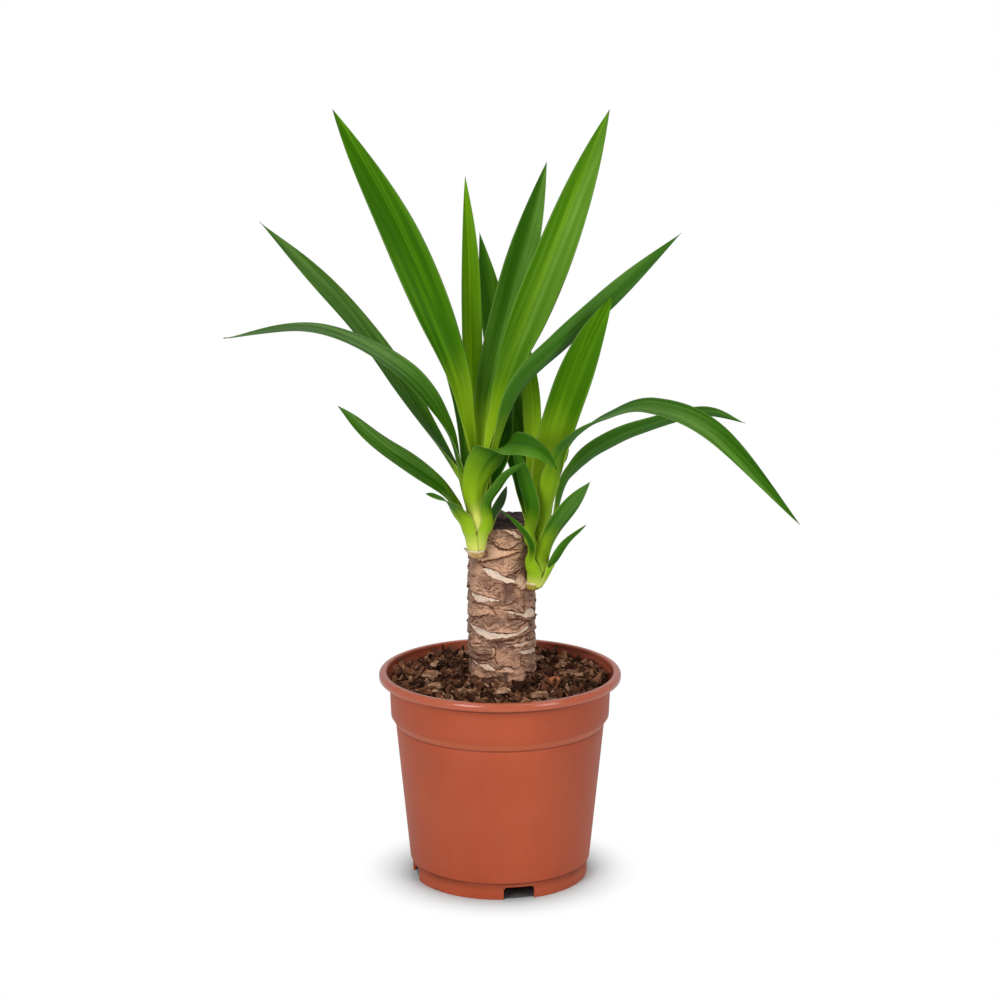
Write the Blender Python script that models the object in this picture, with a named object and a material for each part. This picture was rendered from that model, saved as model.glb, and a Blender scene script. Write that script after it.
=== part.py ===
# Potted yucca: a cane with two leafy side shoots, standing in soil in a plastic nursery pot.
# Metres, +Z up. The origin is on the pot's axis, at the face the pot stands on.
import math
import random

import bmesh
import bpy
import numpy as np
from mathutils import Euler, Matrix, Vector

MM = 0.001
GAP = 0.3 * MM  # clearance between pieces that touch on the real plant

# Pot
POT_HEIGHT = 122 * MM
RIM_RADIUS = 70 * MM
RIM_INNER_RADIUS = 65.2 * MM
RIM_DEPTH = 4.8 * MM
COLLAR_TOP_RADIUS = 64 * MM
COLLAR_FOOT_RADIUS = 63.3 * MM
COLLAR_FOOT_HEIGHT = 95 * MM
WALL_TOP_RADIUS = 60.3 * MM
WALL_TOP_HEIGHT = 88 * MM
WALL_FOOT_RADIUS = 52.4 * MM
WALL = 1.2 * MM
FOOT_RADIUS = 51.2 * MM
FOOT_HEIGHT = 10 * MM
FLOOR_UNDERSIDE = 8.3 * MM
FLOOR_TOP = 9.8 * MM
POT_SEGMENTS = 64
NOTCH_WIDTH = 18 * MM
NOTCH_HEIGHT = 7.6 * MM
NOTCH_FIRST_ANGLE = -77.5  # degrees about +Z from +X, then every quarter turn
DRAIN_RADIUS = 4 * MM
DRAIN_CIRCLE = 30 * MM
DRAIN_COUNT = 6

# Soil
SOIL_EDGE_HEIGHT = 113.3 * MM
SOIL_CROWN_HEIGHT = 115.8 * MM
CHIP_COUNT = 12
CHIP_SEED = 11

# Cane
CANE_X = 0.9 * MM
CANE_RADIUS = 19.2 * MM
CANE_FOOT = 60 * MM
CANE_TOP = 209.2 * MM
CANE_RING_PITCH = 11.5 * MM  # height of one leaf-scar ring
CANE_RING_DEPTH = 0.7 * MM
CAP_THICKNESS = 2.8 * MM
CAP_RADIUS = 18.6 * MM

# Side shoots
SHOOT_REACH = 27.6 * MM  # from the cane's axis to the shoot's axis
SHOOT_RADIUS = 4.6 * MM
SHOOT_HEIGHT = 57 * MM
SHEATH_RADIUS = 7.0 * MM
SHEATH_FOOT = 3 * MM
SHEATH_HEIGHT = 4.4 * MM

# Leaves
BLADE_THICKNESS = 0.9 * MM
BLADE_ROWS = 14
BLADE_ROOT_WIDTH = 5.6 * MM

# One entry for each shoot: the side of the cane it grows from (degrees about +Z from +X), the
# height of its foot, and how far its tip leans (x, y).
SHOOTS = {
    "left": {"side": 239.0, "foot": 196 * MM, "lean": (2.5 * MM, 3 * MM)},
    "right": {"side": 323.0, "foot": 175 * MM, "lean": (0.0, 1.5 * MM)},
}

# One entry for each leaf: its shoot, the height of its root above the shoot's foot and the side of
# the shoot it grows from (degrees), its greatest width, where its upper face looks (share of the
# length, compass angle about +Z and elevation, in degrees), and the places its midrib passes
# through. Heights, widths and places are in millimetres.
LEAVES = [
    ("left", 9, 246, 11, [(0.5, 330, 30), (1, 300, 50)],
     [(-24, -40, 224), (-31, -48, 234), (-40, -53, 238)]),
    ("left", 14, 188, 17, [(0.3, 330, 40), (1, 300, 45)],
     [(-33, -30, 237), (-64, -42, 262), (-89, -52, 287)]),
    ("left", 9, 320, 8, [(0.5, 105, 10), (1, 100, 30)],
     [(-8, -37, 228), (2, -42, 243), (15, -50, 256)]),
    ("left", 12, 20, 8, [(1, 240, 20)], [(0, -4, 222), (4, 13, 228)]),
    ("left", 17, 272, 16, [(0.5, 95, 20), (0.75, 290, 60), (1, 290, 30)],
     [(-16, -35, 236), (-10, -41, 254), (2, -47, 263), (17, -56, 262), (31, -62, 254)]),
    ("left", 25, 208, 20, [(0.3, 330, 30), (1, 300, 60)],
     [(-28, -28, 269), (-54, -28, 303), (-104, 4, 321), (-160, 42, 309)]),
    ("left", 31, 168, 19, [(0.4, 320, 20), (1, 310, 30)],
     [(-38, 0, 262), (-84, 26, 324), (-139, 56, 375)]),
    ("left", 22, 124, 15, [(0.5, 290, 20), (1, 280, 40)],
     [(-21, 20, 277), (-35, 60, 317), (-44, 84, 337)]),
    ("left", 28, 66, 15, [(0.5, 250, 20), (1, 250, 40)],
     [(-8, 28, 256), (0, 58, 282), (6, 84, 305)]),
    ("left", 36, 50, 19, [(0.5, 255, 10), (1, 260, 20)],
     [(-2, -4, 281), (11, 26, 348), (27, 55, 410)]),
    ("left", 43, 98, 12, [(0.5, 275, 5), (1, 265, 10)],
     [(-15, 2, 280), (-17, 34, 356), (-20, 52, 402)]),
    ("left", 38, 318, 17, [(0.3, 110, 20), (1, 95, 30)],
     [(7, -27, 289), (33, -33, 319), (58, -39, 343), (98, -50, 382)]),
    ("left", 49, 165, 23, [(0.4, 290, 5), (1, 280, 10)],
     [(-24, -16, 298), (-54, -8, 372), (-93, 4, 444)]),
    ("left", 50, 10, 23, [(0.4, 255, 5), (1, 265, 10)],
     [(3, -12, 295), (32, -4, 368), (61, 6, 444)]),
    ("right", 9, 353, 6, [(0.4, 115, 20), (1, 105, 30)],
     [(29, -28, 192), (37, -34, 206), (48, -42, 218)]),
    ("right", 9, 238, 6, [(0.5, 50, 30), (1, 60, 50)],
     [(17, -34, 206), (8, -38, 219), (0, -40, 226)]),
    ("right", 14, 292, 12, [(0.4, 110, 10), (1, 100, 20)],
     [(29, -31, 211), (37, -38, 225), (50, -48, 244)]),
    ("right", 16, 80, 12, [(0.5, 260, 30), (1, 260, 60)],
     [(28, 16, 230), (35, 48, 241), (39, 84, 227)]),
    ("right", 24, 222, 8, [(0.5, 45, 20), (1, 60, 10)],
     [(17, -29, 224), (13, -32, 249), (9, -32, 261)]),
    ("right", 25, 14, 15, [(0.35, 110, 30), (1, 110, 50)],
     [(42, -6, 238), (59, 6, 251), (80, 16, 261), (116, 30, 268), (143, 42, 259)]),
    ("right", 30, 62, 15, [(0.5, 250, 20), (1, 260, 40)],
     [(28, 15, 249), (38, 50, 276), (45, 80, 284)]),
    ("right", 32, 145, 18, [(0.5, 300, 10), (1, 290, 20)],
     [(14, 8, 256), (3, 36, 294), (-6, 62, 334), (-12, 82, 366)]),
    ("right", 34, 338, 17, [(0.4, 105, 30), (0.52, 290, 60), (1, 290, 40)],
     [(39, -20, 253), (60, -28, 275), (83, -38, 284), (118, -60, 273), (162, -85, 228)]),
    ("right", 44, 118, 13, [(0.5, 285, 5), (1, 280, 15)],
     [(19, 0, 258), (18, 14, 284), (14, 28, 316)]),
    ("right", 49, 50, 20, [(0.4, 260, 5), (1, 270, 5)],
     [(32, -21, 268), (47, -39, 316), (61, -52, 348)]),
]

COLOURS = {
    "pot": ((0.49, 0.107, 0.055), 0.45),
    "soil": ((0.06, 0.035, 0.02), 0.95),
    "chip": ((0.16, 0.09, 0.055), 0.9),
    "cane": ((0.27, 0.16, 0.1), 0.85),
    "cap": ((0.05, 0.03, 0.025), 0.8),
    "sheath": ((0.6, 0.44, 0.22), 0.75),
    "shoot": ((0.32, 0.44, 0.06), 0.5),
    "leaf": ((0.07, 0.2, 0.015), 0.4),
}


def clear_scene():
    for obj in list(bpy.data.objects):
        bpy.data.objects.remove(obj, do_unlink=True)


def material(name):
    found = bpy.data.materials.get(name)
    if found:
        return found
    colour, roughness = COLOURS[name]
    made = bpy.data.materials.new(name)
    made.use_nodes = True
    shader = made.node_tree.nodes["Principled BSDF"]
    shader.inputs["Base Color"].default_value = (*colour, 1)
    shader.inputs["Roughness"].default_value = roughness
    shader.inputs["Metallic"].default_value = 0
    made.diffuse_color = (*colour, 1)
    return made


def add_object(name, bm, finish, parent=None):
    bmesh.ops.recalc_face_normals(bm, faces=bm.faces)
    mesh = bpy.data.meshes.new(name)
    bm.to_mesh(mesh)
    bm.free()
    obj = bpy.data.objects.new(name, mesh)
    obj.data.materials.append(material(finish))
    bpy.context.scene.collection.objects.link(obj)
    obj.parent = parent
    return obj


def smooth(obj, angle=35):
    obj.data.shade_smooth()
    obj.data.set_sharp_from_angle(angle=math.radians(angle))


def turned(profile, segments):
    """A solid of revolution: the profile runs from the axis out, round and back to the axis."""
    bm = bmesh.new()
    verts = [bm.verts.new((radius, 0, height)) for radius, height in profile]
    edges = [bm.edges.new(pair) for pair in zip(verts, verts[1:])]
    bmesh.ops.spin(
        bm,
        geom=verts + edges,
        cent=(0, 0, 0),
        axis=(0, 0, 1),
        angle=math.tau,
        steps=segments,
        use_merge=True,
    )
    bmesh.ops.remove_doubles(bm, verts=bm.verts, dist=0.01 * MM)
    return bm


def cut(obj, cutter):
    cutter.hide_render = True
    cutter.display_type = "WIRE"
    modifier = obj.modifiers.new("cut_" + cutter.name, "BOOLEAN")
    modifier.operation = "DIFFERENCE"
    modifier.solver = "EXACT"
    modifier.object = cutter


def foot_notch(name, angle):
    """A cutter for one gap in the foot ring, with its two upper corners rounded."""
    bm = bmesh.new()
    bmesh.ops.create_cube(bm, size=1)
    bmesh.ops.scale(bm, vec=(12 * MM, NOTCH_WIDTH, 2 * NOTCH_HEIGHT), verts=bm.verts)
    upper = [
        edge
        for edge in bm.edges
        if all(vert.co.z > 0 for vert in edge.verts)
        and abs(edge.verts[0].co.y - edge.verts[1].co.y) < MM
    ]
    bmesh.ops.bevel(bm, geom=upper, offset=2.2 * MM, segments=3, affect="EDGES", profile=0.5)
    cutter = add_object(name, bm, "pot")
    turn = math.radians(angle)
    cutter.location = (FOOT_RADIUS * math.cos(turn), FOOT_RADIUS * math.sin(turn), 0)
    cutter.rotation_euler = (0, 0, turn)
    return cutter


def drain_hole(name, angle):
    bm = bmesh.new()
    bmesh.ops.create_cone(
        bm, cap_ends=True, segments=14, radius1=DRAIN_RADIUS, radius2=DRAIN_RADIUS, depth=6 * MM
    )
    cutter = add_object(name, bm, "pot")
    turn = math.radians(angle)
    cutter.location = (
        DRAIN_CIRCLE * math.cos(turn),
        DRAIN_CIRCLE * math.sin(turn),
        (FLOOR_UNDERSIDE + FLOOR_TOP) / 2,
    )
    return cutter


def pot():
    lip = 1.2 * MM
    under = POT_HEIGHT - RIM_DEPTH
    profile = [
        (0, FLOOR_UNDERSIDE),
        (FOOT_RADIUS - 1.6 * MM, FLOOR_UNDERSIDE),
        (FOOT_RADIUS - 1.6 * MM, 0),
        (FOOT_RADIUS - 0.3 * MM, 0),
        (FOOT_RADIUS, FOOT_HEIGHT - 0.6 * MM),
        (WALL_FOOT_RADIUS, FOOT_HEIGHT),
        (WALL_TOP_RADIUS, WALL_TOP_HEIGHT),
        (COLLAR_FOOT_RADIUS, COLLAR_FOOT_HEIGHT),
        (COLLAR_TOP_RADIUS, under - 0.8 * MM),
        (COLLAR_TOP_RADIUS + 0.8 * MM, under),
        (RIM_RADIUS - lip, under),
        (RIM_RADIUS, under + lip),
        (RIM_RADIUS, POT_HEIGHT - lip),
        (RIM_RADIUS - lip, POT_HEIGHT),
        (RIM_INNER_RADIUS + lip, POT_HEIGHT),
        (RIM_INNER_RADIUS, POT_HEIGHT - lip),
        (COLLAR_TOP_RADIUS - WALL, under - 1.5 * MM),
        (COLLAR_FOOT_RADIUS - WALL, COLLAR_FOOT_HEIGHT + 0.5 * MM),
        (WALL_TOP_RADIUS - WALL, WALL_TOP_HEIGHT + 0.5 * MM),
        (WALL_FOOT_RADIUS - WALL, FLOOR_TOP),
        (0, FLOOR_TOP),
    ]
    obj = add_object("pot", turned(profile, POT_SEGMENTS), "pot")
    for index in range(4):
        cut(obj, foot_notch(f"notch_{index}", NOTCH_FIRST_ANGLE + 90 * index))
    for index in range(DRAIN_COUNT):
        cut(obj, drain_hole(f"drain_{index}", 360 * index / DRAIN_COUNT))
    smooth(obj)


def soil_height(radius):
    """Height of the soil's surface, a low cone that rises to the cane."""
    share = (radius - CANE_RADIUS) / (COLLAR_TOP_RADIUS - CANE_RADIUS)
    return SOIL_CROWN_HEIGHT + (SOIL_EDGE_HEIGHT - SOIL_CROWN_HEIGHT) * min(max(share, 0), 1)


def soil():
    inside = WALL + GAP
    edge = COLLAR_TOP_RADIUS - inside - 0.3 * MM
    profile = [
        (0, FLOOR_TOP + GAP),
        (WALL_FOOT_RADIUS - inside - 0.2 * MM, FLOOR_TOP + GAP),
        (WALL_TOP_RADIUS - inside - 0.1 * MM, WALL_TOP_HEIGHT + 0.5 * MM),
        (COLLAR_FOOT_RADIUS - inside - 0.1 * MM, COLLAR_FOOT_HEIGHT + 1.5 * MM),
        (edge, SOIL_EDGE_HEIGHT),
        (CANE_RADIUS + 1.6 * MM, soil_height(CANE_RADIUS)),
        (0, soil_height(CANE_RADIUS)),
    ]
    obj = add_object("soil", turned(profile, 48), "soil")
    bm = bmesh.new()
    radius = CANE_RADIUS + CANE_RING_DEPTH + GAP
    low = CANE_FOOT - GAP
    high = SOIL_CROWN_HEIGHT + 10 * MM
    bmesh.ops.create_cone(
        bm, cap_ends=True, segments=32, radius1=radius, radius2=radius, depth=high - low
    )
    pocket = add_object("cane_pocket", bm, "soil")
    pocket.location = (CANE_X, 0, (low + high) / 2)
    cut(obj, pocket)
    smooth(obj)


def bark_chips():
    """Loose bark pieces: angular slabs that lie on the soil, clear of the cane and of each other."""
    rng = random.Random(CHIP_SEED)
    slope = math.atan2(
        SOIL_CROWN_HEIGHT - SOIL_EDGE_HEIGHT, COLLAR_TOP_RADIUS - CANE_RADIUS
    )
    for index in range(CHIP_COUNT):
        turn = math.tau * (index + rng.uniform(-0.16, 0.16)) / CHIP_COUNT
        out = rng.uniform(33, 50) * MM
        length = rng.uniform(10, 15) * MM
        width = rng.uniform(6, 8.5) * MM
        thick = rng.uniform(1.7, 2.3) * MM
        bm = bmesh.new()
        bmesh.ops.create_cone(
            bm, cap_ends=True, segments=6, radius1=0.5, radius2=0.4, depth=1
        )
        bmesh.ops.scale(bm, vec=(length, width, thick), verts=bm.verts)
        for vert in bm.verts:
            vert.co.x += rng.uniform(-0.8, 0.8) * MM
            vert.co.y += rng.uniform(-0.6, 0.6) * MM
        chip = add_object(f"bark_chip_{index + 1:02d}", bm, "chip")
        seat = soil_height(out) + GAP + thick / 2
        tilt = Euler((0, slope, turn)).to_matrix()
        spin = Matrix.Rotation(rng.uniform(0, math.pi), 3, "Z")
        chip.rotation_euler = (tilt @ spin).to_euler()
        chip.location = (out * math.cos(turn), out * math.sin(turn), seat)


def cane():
    """A round stem whose rings flare at their upper edge, where leaves once sat."""
    rings = 30
    segments = 28
    bm = bmesh.new()
    rows = []
    for ring in range(rings + 1):
        height = CANE_FOOT + (CANE_TOP - CANE_FOOT) * ring / rings
        row = []
        for step in range(segments):
            turn = math.tau * step / segments
            wave = height / CANE_RING_PITCH + 0.35 * math.sin(2 * turn + 1)
            flare = (wave % 1.0) * CANE_RING_DEPTH
            radius = CANE_RADIUS + flare * (0.6 + 0.4 * math.sin(3 * turn + height / (9 * MM)))
            row.append(bm.verts.new((radius * math.cos(turn), radius * math.sin(turn), height)))
        rows.append(row)
    for low, high in zip(rows, rows[1:]):
        for step in range(segments):
            after = (step + 1) % segments
            bm.faces.new((low[step], low[after], high[after], high[step]))
    bm.faces.new(rows[0][::-1])
    bm.faces.new(rows[-1])
    obj = add_object("cane", bm, "cane")
    obj.location = (CANE_X, 0, 0)
    smooth(obj)


def cane_cap():
    """The dark crust on the sawn top of the cane."""
    profile = [
        (0, 0),
        (CAP_RADIUS - 0.4 * MM, 0),
        (CAP_RADIUS, 0.8 * MM),
        (CAP_RADIUS - 0.5 * MM, CAP_THICKNESS),
        (CAP_RADIUS - 3 * MM, CAP_THICKNESS - 0.5 * MM),
        (0, CAP_THICKNESS - 0.9 * MM),
    ]
    obj = add_object("cane_cap", turned(profile, 28), "cap")
    obj.location = (CANE_X, 0, CANE_TOP + GAP)
    smooth(obj)


def shoot_axis(side):
    """Empty at the foot of one shoot's upright stretch."""
    values = SHOOTS[side]
    turn = math.radians(values["side"])
    empty = bpy.data.objects.new(f"{side}_shoot", None)
    bpy.context.scene.collection.objects.link(empty)
    empty.location = (
        CANE_X + SHOOT_REACH * math.cos(turn),
        SHOOT_REACH * math.sin(turn),
        values["foot"],
    )
    return empty


def shoot_point(side, height):
    """A point on the shoot's leaning axis, relative to its foot."""
    share = height / SHOOT_HEIGHT
    lean = SHOOTS[side]["lean"]
    return Vector((lean[0] * share, lean[1] * share, height))


def shoot_radius(height):
    """The stem keeps its girth for half its height and then tapers to a blunt tip."""
    return float(np.interp(height, [0, 28 * MM, 46 * MM, SHOOT_HEIGHT],
                           [SHOOT_RADIUS, SHOOT_RADIUS, 3.2 * MM, 1.2 * MM]))


def shoot_stem(side, parent):
    """The stem leaves the cane sideways, bends up and tapers."""
    turn = math.radians(SHOOTS[side]["side"])
    inward = Vector((-math.cos(turn), -math.sin(turn), 0))
    start = SHOOT_REACH - CANE_RADIUS - CANE_RING_DEPTH - GAP
    route = [
        (inward * start + Vector((0, 0, -1.5 * MM)), 3.0 * MM),
        (inward * start * 0.6 + Vector((0, 0, -1.2 * MM)), 3.2 * MM),
        (inward * start * 0.22 + Vector((0, 0, 1.6 * MM)), 3.7 * MM),
    ]
    for height in (7 * MM, 28 * MM, 46 * MM, SHOOT_HEIGHT):
        route.append((shoot_point(side, height), shoot_radius(height)))
    curve = bpy.data.curves.new(f"{side}_stem", "CURVE")
    curve.dimensions = "3D"
    curve.bevel_depth = 1
    curve.bevel_resolution = 3
    curve.use_fill_caps = True
    spline = curve.splines.new("POLY")
    spline.points.add(len(route) - 1)
    for point, (place, radius) in zip(spline.points, route):
        point.co = (*place, 1)
        point.radius = radius
    obj = bpy.data.objects.new(f"{side}_stem", curve)
    obj.data.materials.append(material("shoot"))
    bpy.context.scene.collection.objects.link(obj)
    obj.parent = parent


def shoot_sheath(side, parent):
    """The dry cup of old leaf bases round the foot of the shoot."""
    low = SHEATH_FOOT
    inner = SHOOT_RADIUS + GAP + 0.1 * MM
    profile = [
        (inner, low),
        (inner + 0.5 * MM, low - 0.3 * MM),
        (SHEATH_RADIUS - 0.5 * MM, low + 0.45 * SHEATH_HEIGHT),
        (SHEATH_RADIUS, low + SHEATH_HEIGHT),
        (SHEATH_RADIUS - 0.7 * MM, low + SHEATH_HEIGHT - 0.2 * MM),
        (inner + 0.3 * MM, low + 0.5 * SHEATH_HEIGHT),
        (inner, low),
    ]
    obj = add_object(f"{side}_sheath", turned(profile, 20), "sheath", parent)
    smooth(obj)


def smooth_path(places, count):
    """Evenly spaced points on a Catmull-Rom curve through the places."""
    knots = np.array([places[0] * 2 - places[1], *places, places[-1] * 2 - places[-2]])
    fine = []
    for a, b, c, d in zip(knots, knots[1:], knots[2:], knots[3:]):
        for t in np.linspace(0, 1, 24, endpoint=False):
            fine.append(
                0.5 * (2 * b + (c - a) * t + (2 * a - 5 * b + 4 * c - d) * t**2
                       + (3 * b - a - 3 * c + d) * t**3)
            )
    fine.append(knots[-2])
    fine = np.array(fine)
    run = np.concatenate([[0], np.cumsum(np.linalg.norm(np.diff(fine, axis=0), axis=1))])
    at = np.linspace(0, run[-1], count)
    return np.stack([np.interp(at, run, fine[:, axis]) for axis in range(3)], axis=1)


def blade_width(share, widest):
    """Width along the blade: a narrow root, the widest place at half length, a long point."""
    if share < 0.5:
        rise = share / 0.5
        return BLADE_ROOT_WIDTH + (widest - BLADE_ROOT_WIDTH) * rise * rise * (3 - 2 * rise)
    return widest * max(1 - ((share - 0.5) / 0.5) ** 2.2, 0.05)


def compass(angle, elevation):
    turn, rise = math.radians(angle), math.radians(elevation)
    return np.array([
        math.cos(rise) * math.cos(turn), math.cos(rise) * math.sin(turn), math.sin(rise)
    ])


def leaf(name, side, height, heading, widest, faces, places, parent):
    """A channelled blade swept along its midrib. The upper face turns through the given looks."""
    outward = compass(heading, 0)
    root = np.array(shoot_point(side, height * MM))
    root = root + outward * (shoot_radius(height * MM) + GAP + 0.2 * MM)
    foot = np.array(parent.location)
    rise = root + (outward * 0.3 + np.array([0, 0, 1])) * 8 * MM
    through = [root, rise] + [np.array(place) * MM - foot for place in places]
    rib = smooth_path(through, BLADE_ROWS)
    along = np.gradient(rib, axis=0)
    along /= np.linalg.norm(along, axis=1, keepdims=True)
    shares = [0] + [face[0] for face in faces]
    looks = np.array([compass(heading + 180, 0)] + [compass(*face[1:]) for face in faces])
    bm = bmesh.new()
    rows = []
    for index in range(BLADE_ROWS):
        share = index / (BLADE_ROWS - 1)
        look = np.array([np.interp(share, shares, looks[:, axis]) for axis in range(3)])
        look = look - along[index] * (look @ along[index])
        look /= np.linalg.norm(look)
        across = np.cross(along[index], look)
        half = blade_width(share, widest * MM) / 2
        rise = look * half * (0.16 - 0.1 * share)
        middle = rib[index] - rise
        row = [middle - across * half + 2 * rise, middle, middle + across * half + 2 * rise]
        rows.append([bm.verts.new(place) for place in row])
    for low, high in zip(rows, rows[1:]):
        for side_index in range(2):
            bm.faces.new(
                (low[side_index], low[side_index + 1], high[side_index + 1], high[side_index])
            )
    obj = add_object(name, bm, "leaf", parent)
    thicken = obj.modifiers.new("thickness", "SOLIDIFY")
    thicken.thickness = BLADE_THICKNESS
    thicken.offset = 0
    smooth(obj, 60)


def shoots():
    counts = {}
    for side in SHOOTS:
        parent = shoot_axis(side)
        shoot_stem(side, parent)
        shoot_sheath(side, parent)
        for owner, *values in LEAVES:
            if owner != side:
                continue
            counts[side] = counts.get(side, 0) + 1
            leaf(f"{side}_leaf_{counts[side]:02d}", side, *values, parent)


clear_scene()
pot()
soil()
bark_chips()
cane()
cane_cap()
shoots()
bpy.context.view_layer.update()
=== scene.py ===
import math
import random

import bmesh
import bpy
import numpy as np
from mathutils import Matrix, Vector


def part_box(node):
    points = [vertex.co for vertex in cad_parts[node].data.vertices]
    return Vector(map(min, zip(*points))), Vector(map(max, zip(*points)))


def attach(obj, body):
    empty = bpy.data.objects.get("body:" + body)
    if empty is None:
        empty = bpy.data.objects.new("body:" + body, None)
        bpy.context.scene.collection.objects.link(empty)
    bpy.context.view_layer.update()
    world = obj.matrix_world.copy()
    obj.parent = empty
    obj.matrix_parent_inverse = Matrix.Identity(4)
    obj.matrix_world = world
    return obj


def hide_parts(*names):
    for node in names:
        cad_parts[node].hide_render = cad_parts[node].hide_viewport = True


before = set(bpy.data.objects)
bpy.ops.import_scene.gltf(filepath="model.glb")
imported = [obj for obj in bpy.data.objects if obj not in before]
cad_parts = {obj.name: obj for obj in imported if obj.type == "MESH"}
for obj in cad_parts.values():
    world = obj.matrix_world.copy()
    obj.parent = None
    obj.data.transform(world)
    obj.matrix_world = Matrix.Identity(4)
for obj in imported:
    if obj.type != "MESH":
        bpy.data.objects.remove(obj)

# Looks of a young potted yucca: plastic nursery pot, potting soil, scarred cane, two leafy side shoots.
mm = 0.001
scene = bpy.context.scene
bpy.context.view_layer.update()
work = {}  # holds the node tree that is being filled
print("frame loaded:", len(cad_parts), "solids")


class Value:  # an output of a node; plain arithmetic on it makes Math nodes
    def __init__(self, socket):
        self.socket = socket

    def __add__(self, other):
        return calc("ADD", self, other)

    def __sub__(self, other):
        return calc("SUBTRACT", self, other)

    def __rsub__(self, other):
        return calc("SUBTRACT", other, self)

    def __mul__(self, other):
        return calc("MULTIPLY", self, other)

    def __truediv__(self, other):
        return calc("DIVIDE", self, other)


class Outputs:  # all outputs of a node, by name or by place
    def __init__(self, node):
        self.sockets = node.outputs

    def __getitem__(self, name):
        return Value(self.sockets[name])


def plug(socket, value):  # links an output to a socket, or writes a plain value on it
    if isinstance(value, Value):
        work["tree"].links.new(value.socket, socket)
    elif value is not None:
        socket.default_value = value


def add(kind, inputs=None, **settings):
    node = work["tree"].nodes.new(kind)
    for name, value in settings.items():
        setattr(node, name, value)
    for name, value in (inputs or {}).items():
        plug(node.inputs[name], value)
    return Outputs(node)


def calc(operation, *values):
    return add("ShaderNodeMath", dict(enumerate(values)), operation=operation)[0]


def vectorCalc(operation, *values):
    names = (0, "Scale") if operation == "SCALE" else range(3)
    made = add("ShaderNodeVectorMath", dict(zip(names, values)), operation=operation)
    return made[1 if operation == "LENGTH" else 0]


def scaled(vector, amount):
    return vectorCalc("SCALE", vector, amount)


def total(first, *vectors):
    for vector in vectors:
        first = vectorCalc("ADD", first, vector)
    return first


def fade(value, start, end, low=0.0, high=1.0):  # a soft step from low to high
    inputs = {"Value": value, "From Min": start, "From Max": end, "To Min": low, "To Max": high}
    return add("ShaderNodeMapRange", inputs, interpolation_type="SMOOTHSTEP")["Result"]


def split(vector):
    return add("ShaderNodeSeparateXYZ", {"Vector": vector})


def combine(x=None, y=None, z=None):
    return add("ShaderNodeCombineXYZ", {"X": x, "Y": y, "Z": z})[0]


def paint(code):  # a written colour as the linear values that a shader takes
    if not isinstance(code, str):
        return code
    parts = [int(code[at:at + 2], 16) / 255 for at in (0, 2, 4)]
    linear = [part / 12.92 if part <= 0.04045 else ((part + 0.055) / 1.055) ** 2.4 for part in parts]
    return (*linear, 1)


def mix(amount, low, high):
    return add("ShaderNodeMix", {0: amount, 6: paint(low), 7: paint(high)}, data_type="RGBA")[2]


def layer(colour, colours, *layers):  # lays more colours over the first one, each by its own amount
    for amount, name in layers:
        colour = mix(amount, colour, colours[name])
    return colour


def attributes(*names):
    return [add("ShaderNodeAttribute", attribute_name=name)["Fac"] for name in names]


def newGroup(name, kind, inputs, outputs):
    tree = work["tree"] = bpy.data.node_groups.new(name, kind)
    for inOut, sockets in (("INPUT", inputs), ("OUTPUT", outputs)):
        for label, socketKind, *value in sockets:
            socket = tree.interface.new_socket(label, in_out=inOut, socket_type="NodeSocket" + socketKind)
            if value:
                socket.default_value = value[0]
    return tree, Outputs(tree.nodes.new("NodeGroupInput")), tree.nodes.new("NodeGroupOutput").inputs


def newMaterial(name, specular=0.5):  # an empty material with its Principled shader
    material = bpy.data.materials.new(name)
    material.use_nodes = True
    work["tree"] = material.node_tree
    shader = material.node_tree.nodes["Principled BSDF"]
    shader.inputs["Specular IOR Level"].default_value = specular
    return material, shader, add("ShaderNodeTexCoord")["Object"]


def dress(shader, colour, roughness, relief, strength, depth):  # what each finish comes down to
    plug(shader.inputs["Base Color"], colour)
    plug(shader.inputs["Roughness"], roughness)
    raised = add("ShaderNodeBump", {"Height": relief, "Strength": strength, "Distance": depth})
    plug(shader.inputs["Normal"], raised["Normal"])


def newObject(name, mesh, material=None):
    obj = bpy.data.objects.new(name, mesh)
    scene.collection.objects.link(obj)
    if material:
        mesh.materials.clear()
        mesh.materials.append(material)
    return obj


def fromBmesh(name, bm, material=None):
    mesh = bpy.data.meshes.new(name)
    bm.to_mesh(mesh)
    bm.free()
    return newObject(name, mesh, material)


def gridMesh(name, points):  # rows of rings, low to high, closed at both ends
    rows, columns = points.shape[:2]
    index = np.arange(rows * columns).reshape(rows, columns)
    after = np.roll(index, -1, axis=1)
    places = [*points.reshape(-1, 3)]
    faces = np.stack([index[:-1], after[:-1], after[1:], index[1:]], axis=-1).reshape(-1, 4).tolist()
    for row, turn in ((0, -1), (rows - 1, 1)):
        places.append(points[row].mean(axis=0))
        faces += [[first, second, len(places) - 1][::turn] for first, second in zip(index[row], after[row])]
    mesh = bpy.data.meshes.new(name)
    mesh.from_pydata(places, [], faces)
    mesh.shade_smooth()
    mesh.update()
    return mesh


def storeFloats(mesh, name, values):
    attribute = mesh.attributes.new(name, "FLOAT", "POINT")
    full = np.zeros(len(mesh.vertices), np.float32)
    full[:np.size(values)] = np.ravel(values)
    attribute.data.foreach_set("value", full)


def storeVectors(mesh, name, values):
    attribute = mesh.attributes.new(name, "FLOAT_VECTOR", "POINT")
    attribute.data.foreach_set("vector", np.asarray(values, np.float32).ravel())


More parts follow.
